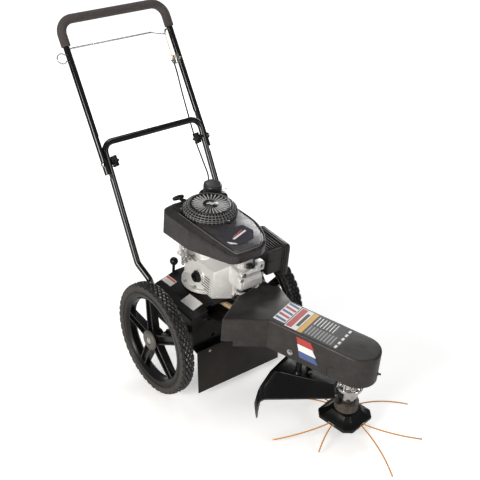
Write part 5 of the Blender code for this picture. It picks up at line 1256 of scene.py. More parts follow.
# Engine
CASE_LEFT_TOP = 0.092
CASE_TOP = 0.12
CASE_RIDGE_X = 0.004
BASE_RADIUS = 0.074
BASE_HEIGHT = 0.012
COVER_TOP_REAR = 0.243
COVER_TOP_FRONT = 0.2572
COVER_LOW_REAR = 0.163
COVER_LOW_KNEE = 0.173
COVER_LOW_FRONT = 0.226
COVER_REAR_Y = 0.108
COVER_KNEE_Y = -0.04
COVER_FRONT_Y = -0.237
RECOIL_SEAT = 0.2511
RECOIL_FINS = 28
DRUM_RIBS = 44
REEL_RADIUS = 0.038
GRIP_PLACE = (-0.0403, 0.106, 0.252)
ROPE_FALL = (0.004, 0.0982, 0.2645)
PORT_FACE = 0.0752
OIL_CAP = (-0.052, -0.022, 0.046)
CLEANER_X = 0.113
CLEANER_LID_X = 0.1725
CASE_PLAN = [(-0.042, 0.06), (-0.042, -0.089), (0.01, -0.12), (0.062, -0.105), (0.075, -0.03), (0.06, 0.06),
        (0.0, 0.078)]
COVER_PLAN = [(0.034, -0.219), (0.059, -0.184), (0.08, -0.119), (0.082, -0.004), (0.069, 0.041),
        (0.036, 0.076), (0.012, 0.105), (-0.06, 0.108), (-0.094, 0.1), (-0.107, 0.082), (-0.106, -0.04),
        (-0.099, -0.15), (-0.092, -0.222), (-0.078, -0.237), (0.006, -0.236)]
SHOULDERS = [0.006, 0.005, 0.004, 0.004, 0.005, 0.006, 0.012, 0.016, 0.02, 0.024, 0.022, 0.015, 0.011, 0.008,
        0.007]


def moulded(outline, levels, radius, steps=8, least=0.001, lay=lambda x, y, height: (x, y, height)):
    """A form of several levels, each with a height, an inset and its corners rounded."""
    rings = []
    for height, amount in levels:
        points = rounded_outline(inset(outline, [amount] * len(outline)), max(least, radius - amount), steps)
        rings.append([lay(x, y, height) for x, y in points])
    return loft(rings)


def scalloped(levels, steps, *waves):
    """A turned form; each level has a height, a radius and how much of each wave draws it in."""
    rings = []
    for height, radius, *shares in levels:
        ring = []
        for a in turns(steps):
            reach = radius
            for share, (count, depth) in zip(shares, waves):
                reach -= depth * share * (1 - math.cos(count * a))
            ring.append((reach * math.cos(a), reach * math.sin(a), height))
        rings.append(ring)
    return loft(rings, capped=False)


def cover_top(y):
    return float(np.interp(y, [COVER_FRONT_Y, COVER_REAR_Y], [COVER_TOP_FRONT, COVER_TOP_REAR]))


def cover_low(y):
    return float(np.interp(y, [COVER_FRONT_Y, COVER_KNEE_Y, COVER_REAR_Y],
            [COVER_LOW_FRONT, COVER_LOW_KNEE, COVER_LOW_REAR]))


def make_engine_cover():
    """The shroud: a tall wall, a sloping shoulder, a raised tongue with a plain plate, and a side rail. The
    rail is in the lighter air-cleaner plastic: a painted highlight on the cover's right edge.
    """
    rings = []
    levels = ((0.0, 0.0, 0.0), (0.0, 0.0, 0.5), (-0.0115, 0.0, 1.0), (-0.0086, 0.06, 1.0),
            (-0.0072, 0.16, 1.0), (-0.002, 1.0, 1.0), (-0.0014, 1.25, 1.0))
    for drop, share, up in levels:
        points = inset(COVER_PLAN, [d * share for d in SHOULDERS])
        ring = []
        for x, y in rounded_outline(points, 0.012, 8):
            low = cover_low(y)
            ring.append((x, y, low + (cover_top(y) + drop - low) * up))
        rings.append(ring)
    bm = bmesh.new()
    bm.from_mesh(loft(rings, capped=False))
    top = sorted((e for e in bm.edges if e.is_boundary), key=lambda e: -e.verts[0].co.z)
    bmesh.ops.contextual_create(bm, geom=top[:len(top) // 2])
    bmesh.ops.recalc_face_normals(bm, faces=bm.faces)
    piece("shroud", thickened(mesh_of(bm, "skin"), 0.0025, -1.0), ENGINE_PLASTIC, ON_ENGINE, "engine_cover",
            sharp=24)
    tongue = [(-0.076, -0.03), (-0.0775, -0.212), (-0.064, -0.23), (0.003, -0.229), (0.024, -0.212),
            (0.05, -0.172), (0.068, -0.118), (0.073, -0.03)]
    levels = ((-0.006, -0.003), (-0.0005, 0.0), (0.0012, 0.0012), (0.002, 0.0034))
    raised = moulded(tongue, levels, 0.0, least=0.011, lay=lambda x, y, lift: (x, y, cover_top(y) + lift))
    piece("shroud_tongue", raised, ENGINE_PLASTIC, ON_ENGINE, sharp=24)
    plate_line = rounded_outline([(-0.07, -0.128), (-0.066, -0.186), (-0.045, -0.2), (0.01, -0.192),
            (0.036, -0.158), (0.03, -0.118), (-0.02, -0.112)], 0.01, 6)
    rings = []
    for lift, amount in ((0.0016, 0.0), (0.0027, 0.0), (0.003, 0.0006)):
        rings.append([(x * (1 - amount * 8), y, cover_top(y) + lift) for x, y in plate_line])
    piece("plain_plate", loft(rings), PLATE_GLOSS, ON_ENGINE)
    edge = [(-0.0835, 0.04), (-0.0842, -0.04), (-0.0838, -0.14), (-0.0815, -0.205), (-0.078, -0.2265),
            (-0.064, -0.23), (0.002, -0.229), (0.023, -0.211), (0.049, -0.171), (0.0668, -0.118),
            (0.0715, -0.04)]
    # The bead round the tongue is light grey: a painted highlight of the crease
    bead = smooth_route([(x, y, cover_top(y) - 0.0004) for x, y in edge], 0.004)
    piece("shroud_bead", tube(bead, 0.0013, 12), BEAD_HIGHLIGHT_PLASTIC, ON_ENGINE)
    bars = (((-0.044, -0.164), (-0.04, -0.17), (0.016, -0.15), (0.018, -0.143), PALE_LABEL),
            ((-0.036, -0.156), (-0.033, -0.159), (0.01, -0.1405), (0.012, -0.136), RED_LABEL),
            ((-0.068, -0.166), (-0.064, -0.184), (-0.046, -0.196), (-0.052, -0.183), PALE_LABEL))
    for k, (*bar, finish) in enumerate(bars):
        line = rounded_outline(bar, 0.0012, 3)
        rings = [[(x, y, cover_top(y) + lift) for x, y in line] for lift in (0.0029, 0.0033)]
        piece("plate_bar_%d" % (k + 1), loft(rings), finish, ON_ENGINE)
    # Rail along the right edge in the lighter air-cleaner plastic: a raised bead whose lighter colour is a
    # painted highlight on the rounded edge
    keys = [(0.078, -0.004), (0.0765, -0.06), (0.0745, -0.112), (0.0655, -0.15), (0.051, -0.186),
            (0.03, -0.215)]
    rail = smooth_route([(x, y, cover_top(y) - 0.0012) for x, y in keys], 0.004)
    shares = [0.35 + 0.65 * min(1.0, 4 * t, 4 * (1 - t)) for t in np.linspace(0, 1, len(rail))]
    piece("shroud_rail", tube(rail, [0.003 * s for s in shares], 16), CLEANER_PLASTIC, ON_ENGINE)
    for k, (x, y) in enumerate(((-0.088, 0.048), (-0.07, -0.08))):
        low = cover_low(y)
        lug = rod((x, y, low - 0.012), (x, y, low + 0.01), 0.0062, 24, edge=0.001)
        piece("shroud_lug_%d" % (k + 1), lug, BLACK_PLASTIC, ON_ENGINE, slot="engine_plastic")


def on_drum(share):
    """Radius and height of the starter drum's side, from its top edge (0) to its foot (1)."""
    shares = (0.0, 0.22, 0.45, 0.6, 0.75, 1.0)
    return (float(np.interp(share, shares, (0.06, 0.0675, 0.0755, 0.079, 0.0802, 0.0806))),
            float(np.interp(share, shares, (0.2735, 0.27, 0.2655, 0.2615, 0.258, 0.2515))))


def make_recoil_starter():
    """The drum: radial fins over a dark disc, a plain emblem, and a grid of bars down its side. Fins and bars
    are drawn light grey on what is black plastic: painted highlights.
    """
    under = [(0.0, 0.27), (0.056, 0.27), (0.057, 0.2715)]
    under += [(r - 0.0026, z - 0.0012) for r, z in (on_drum(s) for s in np.linspace(0.0, 1.0, 12))]
    under += [(0.078, RECOIL_SEAT + 0.0001)]
    piece("starter_drum", turned(under, 96), SHADOW_BLACK, ON_ENGINE, "recoil_housing", sharp=50)
    bars = []
    for k in range(RECOIL_FINS):
        ring = [(0.0215, 0.0009, 0.2736), (0.056, 0.0015, 0.2742)]
        low = [(x, s * w, 0.2698) for x, w, _ in ring for s in (-1, 1)]
        high = [(x, s * w * 0.72, z) for x, w, z in ring for s in (-1, 1)]
        bar = new_mesh(low + high, [(0, 1, 3, 2), (4, 6, 7, 5), (0, 4, 5, 1), (2, 3, 7, 6), (0, 2, 6, 4),
                (1, 5, 7, 3)])
        bars.append(moved(bevelled(bar, 0.0004), turn=spin(k * FULL_TURN / RECOIL_FINS)))
    piece("starter_fins", merged(*bars), FIN_HIGHLIGHT_PLASTIC, ON_ENGINE)
    rim = turned([(0.0545, 0.27), (0.0545, 0.2738), (0.0552, 0.2745), (0.058, 0.2745), (0.0598, 0.2738),
            (0.0604, 0.2722), (0.06, 0.27)], 96, closed=True)
    hub = turned([(0.0, 0.2748), (0.019, 0.2746), (0.0196, 0.2742), (0.0202, 0.2738), (0.0228, 0.2738),
            (0.0236, 0.2732), (0.0238, 0.27)], 72)
    piece("starter_rim", merged(rim, hub), BLACK_PLASTIC, ON_ENGINE)
    emblem = turned([(0.0, 0.2756), (0.01, 0.27545), (0.0155, 0.2751), (0.0162, 0.2747)], 48)
    piece("plain_emblem", emblem, BLACK_PLASTIC, ON_ENGINE)
    stripes = [block((-0.0105 + 0.0025 * k, 0.0046 * k - 0.0013, 0.2745),
            (0.0105 + 0.0025 * k, 0.0046 * k + 0.0013, 0.276), 0.0004) for k in (-1, 0, 1)]
    stripes = moved(merged(*stripes), turn=spin(math.radians(-52)))
    piece("emblem_stripes", stripes, EMBLEM_GREY, ON_ENGINE)
    grid = []
    for a in turns(DRUM_RIBS):
        path = []
        for s in np.linspace(0.02, 1.0, 8):
            radius, height = on_drum(s)
            path.append((radius * math.cos(a), radius * math.sin(a), height - 0.0005))
        grid.append(tube(path, 0.0011, 8))
    for s in (0.2, 0.42, 0.62, 0.82):
        radius, height = on_drum(s)
        grid.append(tube(circle(radius, height - 0.0003, 96), 0.00095, 8, closed=True))
    foot = turned([(0.077, RECOIL_SEAT), (0.077, RECOIL_SEAT + 0.0028), (0.08, RECOIL_SEAT + 0.0032),
            (0.0812, RECOIL_SEAT + 0.0022), (0.0812, RECOIL_SEAT)], 96, closed=True)
    piece("starter_grid", merged(*grid), GRID_HIGHLIGHT_PLASTIC, ON_ENGINE)
    piece("starter_foot", foot, BLACK_PLASTIC, ON_ENGINE)
    for k, a in enumerate(math.radians(angle) for angle in (-88, 32, 152)):
        spot = Vector((0.085 * math.cos(a), 0.085 * math.sin(a), RECOIL_SEAT))
        lug = rod(spot - UP * 0.001, spot + UP * 0.0062, 0.0066, 28, edge=0.0008)
        rib = block((0.06, -0.003, RECOIL_SEAT), (0.082, 0.003, RECOIL_SEAT + 0.0105), 0.0008)
        boss = merged(lug, moved(rib, turn=spin(a)))
        piece("starter_lug_%d" % (k + 1), boss, BLACK_PLASTIC, ON_ENGINE)
        screw = hex_bolt(spot + UP * 0.0062, UP, 0.0062, 0.003, washer=False)
        piece("starter_screw_%d" % (k + 1), screw, STEEL, ON_ENGINE)


def make_reel():
    """The rope reel: two flanges with turns of rope between them."""
    top = 0.2695
    low = top - 0.01
    rope = []
    for k in range(4):
        z = low + 0.0026 + k * 0.0017
        rope += [(REEL_RADIUS - 0.0018, z - 0.0008), (REEL_RADIUS - 0.0008, z),
                (REEL_RADIUS - 0.0018, z + 0.0008)]
    profile = [(0.0065, low), (REEL_RADIUS, low), (REEL_RADIUS, low + 0.0014),
            (REEL_RADIUS - 0.002, low + 0.0016)]
    profile += rope + [(REEL_RADIUS - 0.002, top - 0.0016), (REEL_RADIUS, top - 0.0014), (REEL_RADIUS, top),
            (0.0065, top)]
    piece("rope_reel", turned(profile, 64, closed=True), STEEL, ("starter_reel", ENGINE), "starter_reel")


def make_rope_and_grip():
    """The starter rope from the reel to its T grip."""
    x, grip_y, grip_z = GRIP_PLACE
    start, end, z = ROPE_FALL
    fall = (grip_z - z) / (grip_y - start)
    route = [(x, y, z + fall * (y - start)) for y in np.linspace(start, end, 9)]
    points = [tuple(ENGINE @ Vector(p)) for p in route]
    rope = dressed("pull_rope", tube(points, 0.002, 16), ROPE_WEAVE)
    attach(rope, "chassis")
    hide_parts("starter_rope")
    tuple(points[0])
    (Vector(points[-1]) - Vector(points[0])).length
    horn = []
    for t in np.linspace(0, 1, 12):
        at = grip_y - 0.046 + 0.034 * t
        horn.append(((x, at, z + fall * (at - start)), 0.009 - 0.0042 * t))
    outlet = cut(tube([p for p, _ in horn], [r for _, r in horn], 28), tube(route, 0.0034, 16))
    piece("rope_outlet", outlet, BLACK_PLASTIC, ON_ENGINE)
    half = 0.019
    bar = []
    for t in np.linspace(-1, 1, 33):
        dome = math.sqrt(max(0.0, 1 - (abs(t) - 0.9) ** 2 / 0.01)) if abs(t) > 0.9 else 1.0
        bar.append(((x + half * t, grip_y, grip_z), (0.0074 - 0.0024 * t * t) * max(0.15, dome)))
    grip = tube([p for p, _ in bar], [r for _, r in bar], 32)
    collar = rod((x, grip_y, grip_z), (x, grip_y - 0.0076, grip_z), 0.0046, 24, end_radius=0.0034)
    piece("pull_grip", merged(grip, collar), BLACK_PLASTIC, ("starter_grip", ENGINE), "starter_grip",
            sharp=50)


def make_castings():
    """Oil pan with its flange, the crankcase with fins and bolts, and the cylinder block."""
    pan = turned([(0, 0.0124), (BASE_RADIUS - 0.007, 0.0124), (BASE_RADIUS - 0.004, 0.0118),
            (BASE_RADIUS, 0.01), (BASE_RADIUS, 0.006), (BASE_RADIUS - 0.0035, 0.0048),
            (BASE_RADIUS - 0.0035, 0.003), (BASE_RADIUS, 0.002), (BASE_RADIUS, GAP), (0, GAP)], 96)
    foot = moulded(CASE_PLAN, ((GAP + 0.001, 0.0006), (0.011, 0.0), (0.0118, 0.0006)), 0.006)
    piece("pan_casting", merged(pan, foot), CAST_METAL, ON_ENGINE, "oil_pan")
    spots = [(0.0675 * math.cos(a), 0.0675 * math.sin(a), 0.0122)
            for a in (math.radians(angle) for angle in (168, 204, 240))]
    bolts("pan_bolt", spots, UP, 0.0074, 0.004, ON_ENGINE)
    case = moulded(CASE_PLAN, ((BASE_HEIGHT + GAP, 0.001), (0.06, 0.0014), (CASE_TOP - 0.006, 0.002),
            (CASE_TOP - 0.0022, 0.0034), (CASE_TOP, 0.007)), 0.01)
    slope = math.atan2(CASE_TOP - CASE_LEFT_TOP, CASE_RIDGE_X - CASE_PLAN[0][0])
    above = moved(block((-0.2, -0.2, 0), (0, 0.2, 0.1)), (CASE_RIDGE_X, 0, CASE_TOP), spin(-slope, "Y"))
    case = bevelled(cut(case, above), 0.003, 3, 25)
    ribs = []
    hollows = []
    pitch = 0.009
    for low_y, high_y, low_z, count in ((-0.074, -0.026, 0.01, 3), (-0.074, -0.045, 0.037, 3)):
        for k in range(count):
            z = low_z + pitch * k
            ribs.append(block((-0.0424, low_y, z - 0.0027), (-0.04, high_y, z + 0.0027), 0.0006, 2))
        hollows.append(block((-0.0418, low_y + 0.0012, low_z - pitch / 2),
                (-0.0395, high_y - 0.0012, low_z + pitch * (count - 0.5)), 0.0004))
    piece("case_ribs", merged(*ribs), CAST_METAL, ON_ENGINE)
    piece("case_hollows", merged(*hollows), SHADOW_BLACK, ON_ENGINE)
    skirt = turned([(0, 0.026), (0.05, 0.026), (0.06, 0.018), (0.066, BASE_HEIGHT + GAP),
            (0, BASE_HEIGHT + GAP)], 72)
    tower = turned([(0, 0.14), (0.031, 0.14), (0.034, 0.138), (0.04, CASE_LEFT_TOP - 0.01)], 72)
    cylinder = block((0.0, -0.1555, 0.058), (0.072, -0.09, 0.118), 0.006, 3)
    leg = block((0.036, 0.04, CASE_LEFT_TOP - 0.02), (0.07, 0.1, 0.1497), 0.003)
    intake = block((0.05, -0.09, 0.06), (PORT_FACE, -0.046, 0.096), 0.003)
    exhaust = block((0.05, -0.002, 0.044), (PORT_FACE, 0.036, 0.072), 0.003)
    front_post = rod((0.02, -0.13, 0.11), (0.02, -0.13, 0.2422), 0.007, 24)
    rear_post = rod((-0.052, 0.066, 0.08), (-0.052, 0.066, 0.2336), 0.006, 24)
    lug = block((-0.06, 0.056, 0.076), (-0.024, 0.075, 0.084), 0.002)
    cap_x, cap_y, cap_z = OIL_CAP
    boss = rod((cap_x + 0.014, cap_y, cap_z), OIL_CAP, 0.0205, 48, end_radius=0.0186)
    plug_boss = rod((0.03, -0.15, 0.13), (0.03, -0.12, 0.112), 0.011, 32)
    piece("case_casting", merged(case, skirt, tower, cylinder, leg, intake, exhaust, front_post, rear_post,
            lug, boss, plug_boss), CAST_METAL, ON_ENGINE, "crankcase", sharp=32)
    seam = merged(moved(block((-0.0024, -0.0075, 0.0135), (0.0024, 0.0045, 0.121), 0.0012, 2),
            (0.013, -0.1205, 0.0)), moved(block((-0.0017, -0.006, 0.0135), (0.0017, 0.0045, 0.116), 0.001, 2),
            (0.0205, -0.119, 0.0)))
    piece("case_seam", seam, CAST_METAL, ON_ENGINE)
    spots = [(0.0165, -0.128, z) for z in (0.02, 0.062, 0.108)]
    for k, spot in enumerate(spots):
        ear = rod(Vector(spot) + Vector((0, 0.01, 0)), spot, 0.007, 24, edge=0.001)
        piece("seam_ear_%d" % (k + 1), ear, CAST_METAL, ON_ENGINE)
    bolts("seam_bolt", spots, FORWARD, 0.0074, 0.0045, ON_ENGINE)


def make_cylinder_end():
    """Cylinder head with its fins and bolts, and the rounded valve cover."""
    flange = block((-0.006, -0.156, 0.056), (0.076, -0.149, 0.124), 0.003, 2)
    ribs = [block((0.0235, y - 0.0012, 0.056), (0.0755, y + 0.0012, 0.1215), 0.0008)
            for y in (-0.144 + k * 0.0095 for k in range(5))]
    brow = block((-0.006, -0.174, 0.115), (0.079, -0.148, 0.1235), 0.0035, 3)
    corner = block((0.048, -0.176, 0.12), (0.079, -0.15, 0.145), 0.006, 3)
    arch = tube(smooth_route([(-0.004, -0.165, 0.1225), (0.014, -0.166, 0.121), (0.034, -0.166, 0.123),
            (0.05, -0.165, 0.1335), (0.06, -0.164, 0.14)], 0.003), 0.0056, 20)
    piece("head_casting", merged(flange, brow, corner, arch, *ribs), CAST_METAL, ON_ENGINE)
    plan = rectangle(-0.01, 0.063, 0.078, 0.109)
    def lay(x, z, depth):
        return x, depth, z

    lid = moulded(plan, ((-0.1563, 0.0), (-0.16, 0.0), (-0.1612, 0.0018), (-0.17, 0.0024), (-0.1748, 0.005),
            (-0.176, 0.0085)), 0.0115, 8, 0.002, lay)
    pad = moulded(plan, ((-0.1755, 0.011), (-0.1772, 0.0118), (-0.1776, 0.013)), 0.0, 6, 0.004, lay)
    piece("valve_lid", merged(lid, pad), CAST_METAL, ON_ENGINE, "valve_cover")
    bolts("lid_bolt", [(x, -0.1735, z) for z in (0.103, 0.069) for x in (-0.0035, 0.0715)], FORWARD, 0.0066,
            0.0036, ON_ENGINE)
    bolts("head_bolt", ((0.0665, -0.1762, 0.133), (0.004, -0.1742, 0.119)), FORWARD, 0.0084, 0.0042,
            ON_ENGINE)
    lip = tube(smooth_route([(-0.012, -0.158, 0.06), (0.002, -0.166, 0.05), (0.034, -0.169, 0.045),
            (0.066, -0.164, 0.05), (0.08, -0.152, 0.06)], 0.003), 0.0042, 20)
    piece("head_lip", lip, CAST_METAL, ON_ENGINE)


def make_spark_plug():
    start = Vector((0.03, -0.15, 0.13))
    along = (start - Vector((0.03, -0.12, 0.112))).normalized()
    body = merged(rod(start + along * GAP, start + along * 0.008, 0.0083, 6),
            rod(start + along * 0.004, start + along * 0.022, 0.0045, 24))
    piece("plug_body", body, STEEL, ON_ENGINE, "spark_plug")
    shares = [(0.0, 0.0082), (0.05, 0.0095), (0.24, 0.0095), (0.3, 0.0082), (0.46, 0.008), (0.52, 0.0092),
            (0.86, 0.009), (1.0, 0.007)]
    boot = turned_between(start + along * 0.0095, start + along * 0.034, shares)
    lead = tube(smooth_route([start + along * 0.03, start + along * 0.0335 + Vector((0.004, 0.002, 0.003)),
            (0.037, -0.168, 0.172), (0.043, -0.15, 0.2), (0.046, -0.12, 0.222)], 0.003), 0.003, 16)
    piece("plug_boot", merged(boot, lead), BLACK_PLASTIC, ON_ENGINE, "spark_plug_boot")


def make_muffler():
    """The silencer's pressed box with its flange, a seam and louvres."""
    low = (0.08, -0.01, 0.03)
    high = (0.132, 0.06, 0.092)
    body = block(low, high, 0.01, 4)
    flange = block((PORT_FACE + GAP, -0.004, 0.04), (0.084, 0.04, 0.076), 0.001)
    seam = block((low[0] - 0.0005, low[1] - 0.0012, 0.0595), (high[0] + 0.001, high[1] + 0.0012, 0.0625),
            0.001)
    louvres = [block((high[0] - 0.001, 0.006 + k * 0.009, 0.07), (high[0] + 0.0012, 0.01 + k * 0.009, 0.084),
            0.0006) for k in range(5)]
    piece("silencer", merged(body, flange, seam, *louvres), DARK_STEEL, ON_ENGINE, "muffler")


def make_carburettor():
    throat = rod((PORT_FACE + GAP, -0.068, 0.078), (CLEANER_X - GAP, -0.068, 0.078), 0.013, 32)
    bowl = turned([(0.0, -0.0005), (0.0095, 0.0), (0.0118, 0.0025), (0.012, 0.024), (0.0, 0.024)], 40)
    drain = rod((0.094, -0.068, 0.0412), (0.094, -0.068, 0.0465), 0.004, 6)
    flange = block((0.09, -0.086, 0.064), (0.093, -0.05, 0.092), 0.001)
    piece("carburettor_body", merged(throat, moved(bowl, (0.094, -0.068, 0.046)), flange), CAST_METAL,
            ON_ENGINE, "carburettor")
    piece("bowl_screw", drain, BRASS, ON_ENGINE)


def make_air_cleaner():
    """The box with its open front, and the cover with a grooved border and a rounded rim."""
    low = Vector((CLEANER_X, -0.149, 0.062))
    high = Vector((CLEANER_LID_X - GAP, -0.029, 0.145))
    wall = 0.0025
    hollow = block((low.x + wall, low.y + wall, low.z + wall), (high.x + 0.01, high.y - wall, high.z - wall),
            0.003)
    box = cut(block(low, high, 0.0045, 3), hollow)
    trims = [block((high.x - 0.005, low.y - 0.0022, low.z - 0.0022), (high.x, low.y + 0.001, high.z + 0.0022),
            0.0009)]
    trims.append(block((high.x - 0.005, low.y - 0.0022, high.z - 0.001),
            (high.x, high.y + 0.001, high.z + 0.0022), 0.0009))
    for k in range(6):
        x = low.x + 0.006 + k * 0.0088
        trims.append(block((x, low.y + 0.01, high.z - 0.0005), (x + 0.0036, high.y - 0.012, high.z + 0.0045),
                0.0012))
    piece("cleaner_box", merged(box, *trims), CLEANER_PLASTIC, ON_ENGINE, "air_cleaner_base")
    latch = block((low.x + 0.0005, low.y - 0.0016, 0.1105), (low.x + 0.0135, low.y + 0.001, 0.1135), 0.0008)
    piece("cleaner_slot", latch, SHADOW_BLACK, ON_ENGINE)
    plan = rectangle(-0.157, 0.04, -0.02, 0.153)
    levels = ((0.0, 0.003), (0.001, 0.0012), (0.004, 0.0012), (0.0046, 0.003), (0.0062, 0.003),
            (0.0068, 0.0004), (0.014, 0.0), (0.0185, 0.0018), (0.0215, 0.005), (0.0228, 0.01), (0.023, 0.016))
    lid = moulded(plan, levels, 0.0135, 8, 0.003, lambda y, z, out: (CLEANER_LID_X + out, y, z))
    grooves = []
    for k in range(3):
        points = inset(plan, [0.02 + 0.012 * k] * 4)
        line = [(CLEANER_LID_X + 0.0229, y, z) for y, z in rounded_outline(points, 0.005, 6)]
        grooves.append(tube(line, 0.0011, 8, closed=True))
    piece("cleaner_lid", merged(lid, *grooves), CLEANER_PLASTIC, ("air_cleaner_cover", ENGINE),
            "air_cleaner_cover")
    element = []
    for k in range(18):
        z = low.z + 0.006 + k * 0.0038
        element.append(block((low.x + 0.01, low.y + 0.01, z), (high.x - 0.006, high.y - 0.01, z + 0.0022),
                0.0006))
    frame = cut(block((low.x + 0.008, low.y + 0.008, low.z + 0.003),
            (high.x - 0.004, high.y - 0.008, high.z - 0.008), 0.003),
            block((low.x + 0.0, low.y + 0.012, low.z + 0.007),
            (high.x + 0.01, high.y - 0.012, high.z - 0.012)))
    piece("filter_element", merged(frame, *element), FILTER_PAPER, ON_ENGINE, "air_filter")


def make_fuel_tank():
    """Tank with its neck, the ribbed screw cap, and the thin loop of its tether."""
    cap_x, cap_y, top = 0.076, 0.092, 0.242
    shell = block((0.048, 0.06, 0.15), (0.122, 0.134, top), 0.017, 5)
    neck = rod((cap_x, cap_y, top - 0.004), (cap_x, cap_y, top + 0.016), 0.02, 48)
    hollow = block((0.052, 0.064, 0.154), (0.118, 0.13, 0.238), 0.014, 1)
    shell, neck = [cut(form, *hollows, rod((cap_x, cap_y, 0.2), (cap_x, cap_y, 0.3), 0.014, 32))
            for form, hollows in ((shell, [hollow]), (neck, []))]
    piece("tank_shell", merged(shell, neck), BLACK_PLASTIC, ON_ENGINE, "fuel_tank")
    low = top + 0.0015
    high = low + 0.031
    knurl = scalloped(((low, 0.0262), (low + 0.0012, 0.0278), (low + 0.0025, 0.0284, 1.0),
            (high - 0.01, 0.0284, 1.0), (high - 0.0085, 0.0288, 0.3), (high - 0.004, 0.0288, 0.0, 1.0),
            (high - 0.0012, 0.027, 0.0, 1.0), (high - 0.0003, 0.0245, 0.0, 1.0),
            (high - 0.001, 0.02, 0.0, 0.3), (high - 0.0012, 0.0)), 216, (36, 0.0007), (6, 0.00065))
    inner = turned([(0.0205, low), (0.0205, top + 0.0163), (0.0, top + 0.0163)], 48)
    cap = moved(merged(knurl, inner), (cap_x, cap_y, 0))
    piece("ribbed_cap", cap, CAP_PLASTIC, ("fuel_cap", ENGINE), "fuel_cap", sharp=45)
    loop = bent([(0.1, 0.078, 0.2435), (0.112, 0.072, 0.2475), (0.121, 0.073, 0.25), (0.121, 0.08, 0.2495),
            (0.11, 0.085, 0.2455), (0.101, 0.086, 0.2432)], 0.0032, 6)
    piece("tether_loop", tube(loop, 0.0009, 10), EMBLEM_GREY, ON_ENGINE)


def make_oil_cap():
    turn = spin(-math.pi / 2, "Y")
    knurl = scalloped(((GAP, 0.014), (0.0012, 0.0155), (0.002, 0.0156, 1.0), (0.0085, 0.0156, 1.0),
            (0.0098, 0.0146), (0.01, 0.011), (0.0088, 0.01), (0.0086, 0.0)), 144, (24, 0.0004))
    bar = block((-0.0026, -0.0098, 0.008), (0.0026, 0.0098, 0.014), 0.0012, 3)
    cap = moved(merged(knurl, bar), OIL_CAP, turn)
    piece("oil_cap", cap, BLACK_PLASTIC, ("oil_filler_cap", ENGINE), "oil_filler_cap", sharp=45)
    seat = moved(turned([(0.0158, -0.001), (0.0158, 0.0006), (0.0185, 0.0008), (0.0192, 0.0),
            (0.0192, -0.002)], 56), OIL_CAP, turn)
    piece("oil_seat", seat, SHADOW_BLACK, ON_ENGINE)


def make_governor():
    """The governor's lever, its spring and link, and the bracket that carries them."""
    x, y, z = (-0.058, 0.01, 0.1)
    outline = arc((0, 0), 0.006, math.pi / 2, 3 * math.pi / 2, 16)
    outline += [(0.0, -0.006), (0.002, -0.028), (0.008, -0.028), (0.007, 0.004)]
    lever = cut(plate(outline, -0.001, 0.001, 0.0003), rod((0, 0, -0.01), (0, 0, 0.01), 0.0033, 24))
    piece("throttle_lever", lever, STEEL, ("governor_lever", ENGINE @ Matrix.Translation((x, y, z))),
            "governor_lever")
    pin = rod((x, y, z - 0.006), (x, y, z + 0.004), 0.0029, 24, edge=0.0004)
    bracket = merged(block((x - 0.006, y - 0.01, z - 0.0062), (-0.03, y + 0.01, z - 0.0014), 0.0008),
            block((-0.062, 0.02, 0.078), (-0.06, 0.046, 0.108), 0.0006),
            block((-0.062, 0.042, 0.056), (-0.04, 0.046, 0.084), 0.0008))
    piece("governor_bracket", merged(pin, bracket), STEEL, ON_ENGINE)
    spring = []
    start = Vector((-0.064, 0.013, 0.106))
    end = Vector((-0.06, 0.044, 0.07))
    along = (end - start).normalized()
    side = along.orthogonal().normalized()
    other = along.cross(side)
    for t in np.linspace(0, 1, 200):
        a = FULL_TURN * 13 * t
        reach = 0.0026 * min(1.0, 12 * t, 12 * (1 - t))
        spring.append(start.lerp(end, t) + (side * math.cos(a) + other * math.sin(a)) * reach)
    piece("governor_spring", tube(spring, 0.00055, 6), STEEL, ON_ENGINE, sharp=60)
    link = tube(bent([(-0.056, 0.024, 0.096), (-0.06, 0.03, 0.096), (-0.06, 0.048, 0.08),
            (-0.052, 0.056, 0.056), (-0.044, 0.056, 0.05)], 0.004, 6), 0.0011, 10)
    piece("governor_link", link, STEEL, ON_ENGINE)
    bolts("governor_bolt", ((-0.0625, 0.036, 0.064), (-0.0625, 0.028, 0.088)), (-1, 0, 0), 0.0068, 0.0036,
            ON_ENGINE)


def make_brake_lever():
    outline = arc((0, 0), 0.007, -math.pi / 2, math.pi / 2, 16) + [(-0.03, 0.005), (-0.03, -0.005)]
    lever = cut(plate(outline, 0.0, 0.003, 0.0005), rod((0, 0, -0.01), (0, 0, 0.01), 0.0033, 24))
    piece("brake_arm", lever, STEEL, ("brake_lever", ENGINE @ Matrix.Translation((0.01, 0.092, 0.07))),
            "brake_lever")
    base = merged(rod((0.01, 0.092, 0.064), (0.01, 0.092, 0.076), 0.0029, 24, edge=0.0004),
            block((0.002, 0.066, 0.058), (0.018, 0.1, 0.0697), 0.001))
    piece("brake_boss", base, CAST_METAL, ON_ENGINE)


make_engine_cover()
make_recoil_starter()
make_reel()
make_rope_and_grip()
make_castings()
make_cylinder_end()
make_spark_plug()
make_muffler()
make_carburettor()
make_air_cleaner()
make_fuel_tank()
make_oil_cap()
make_governor()
make_brake_lever()


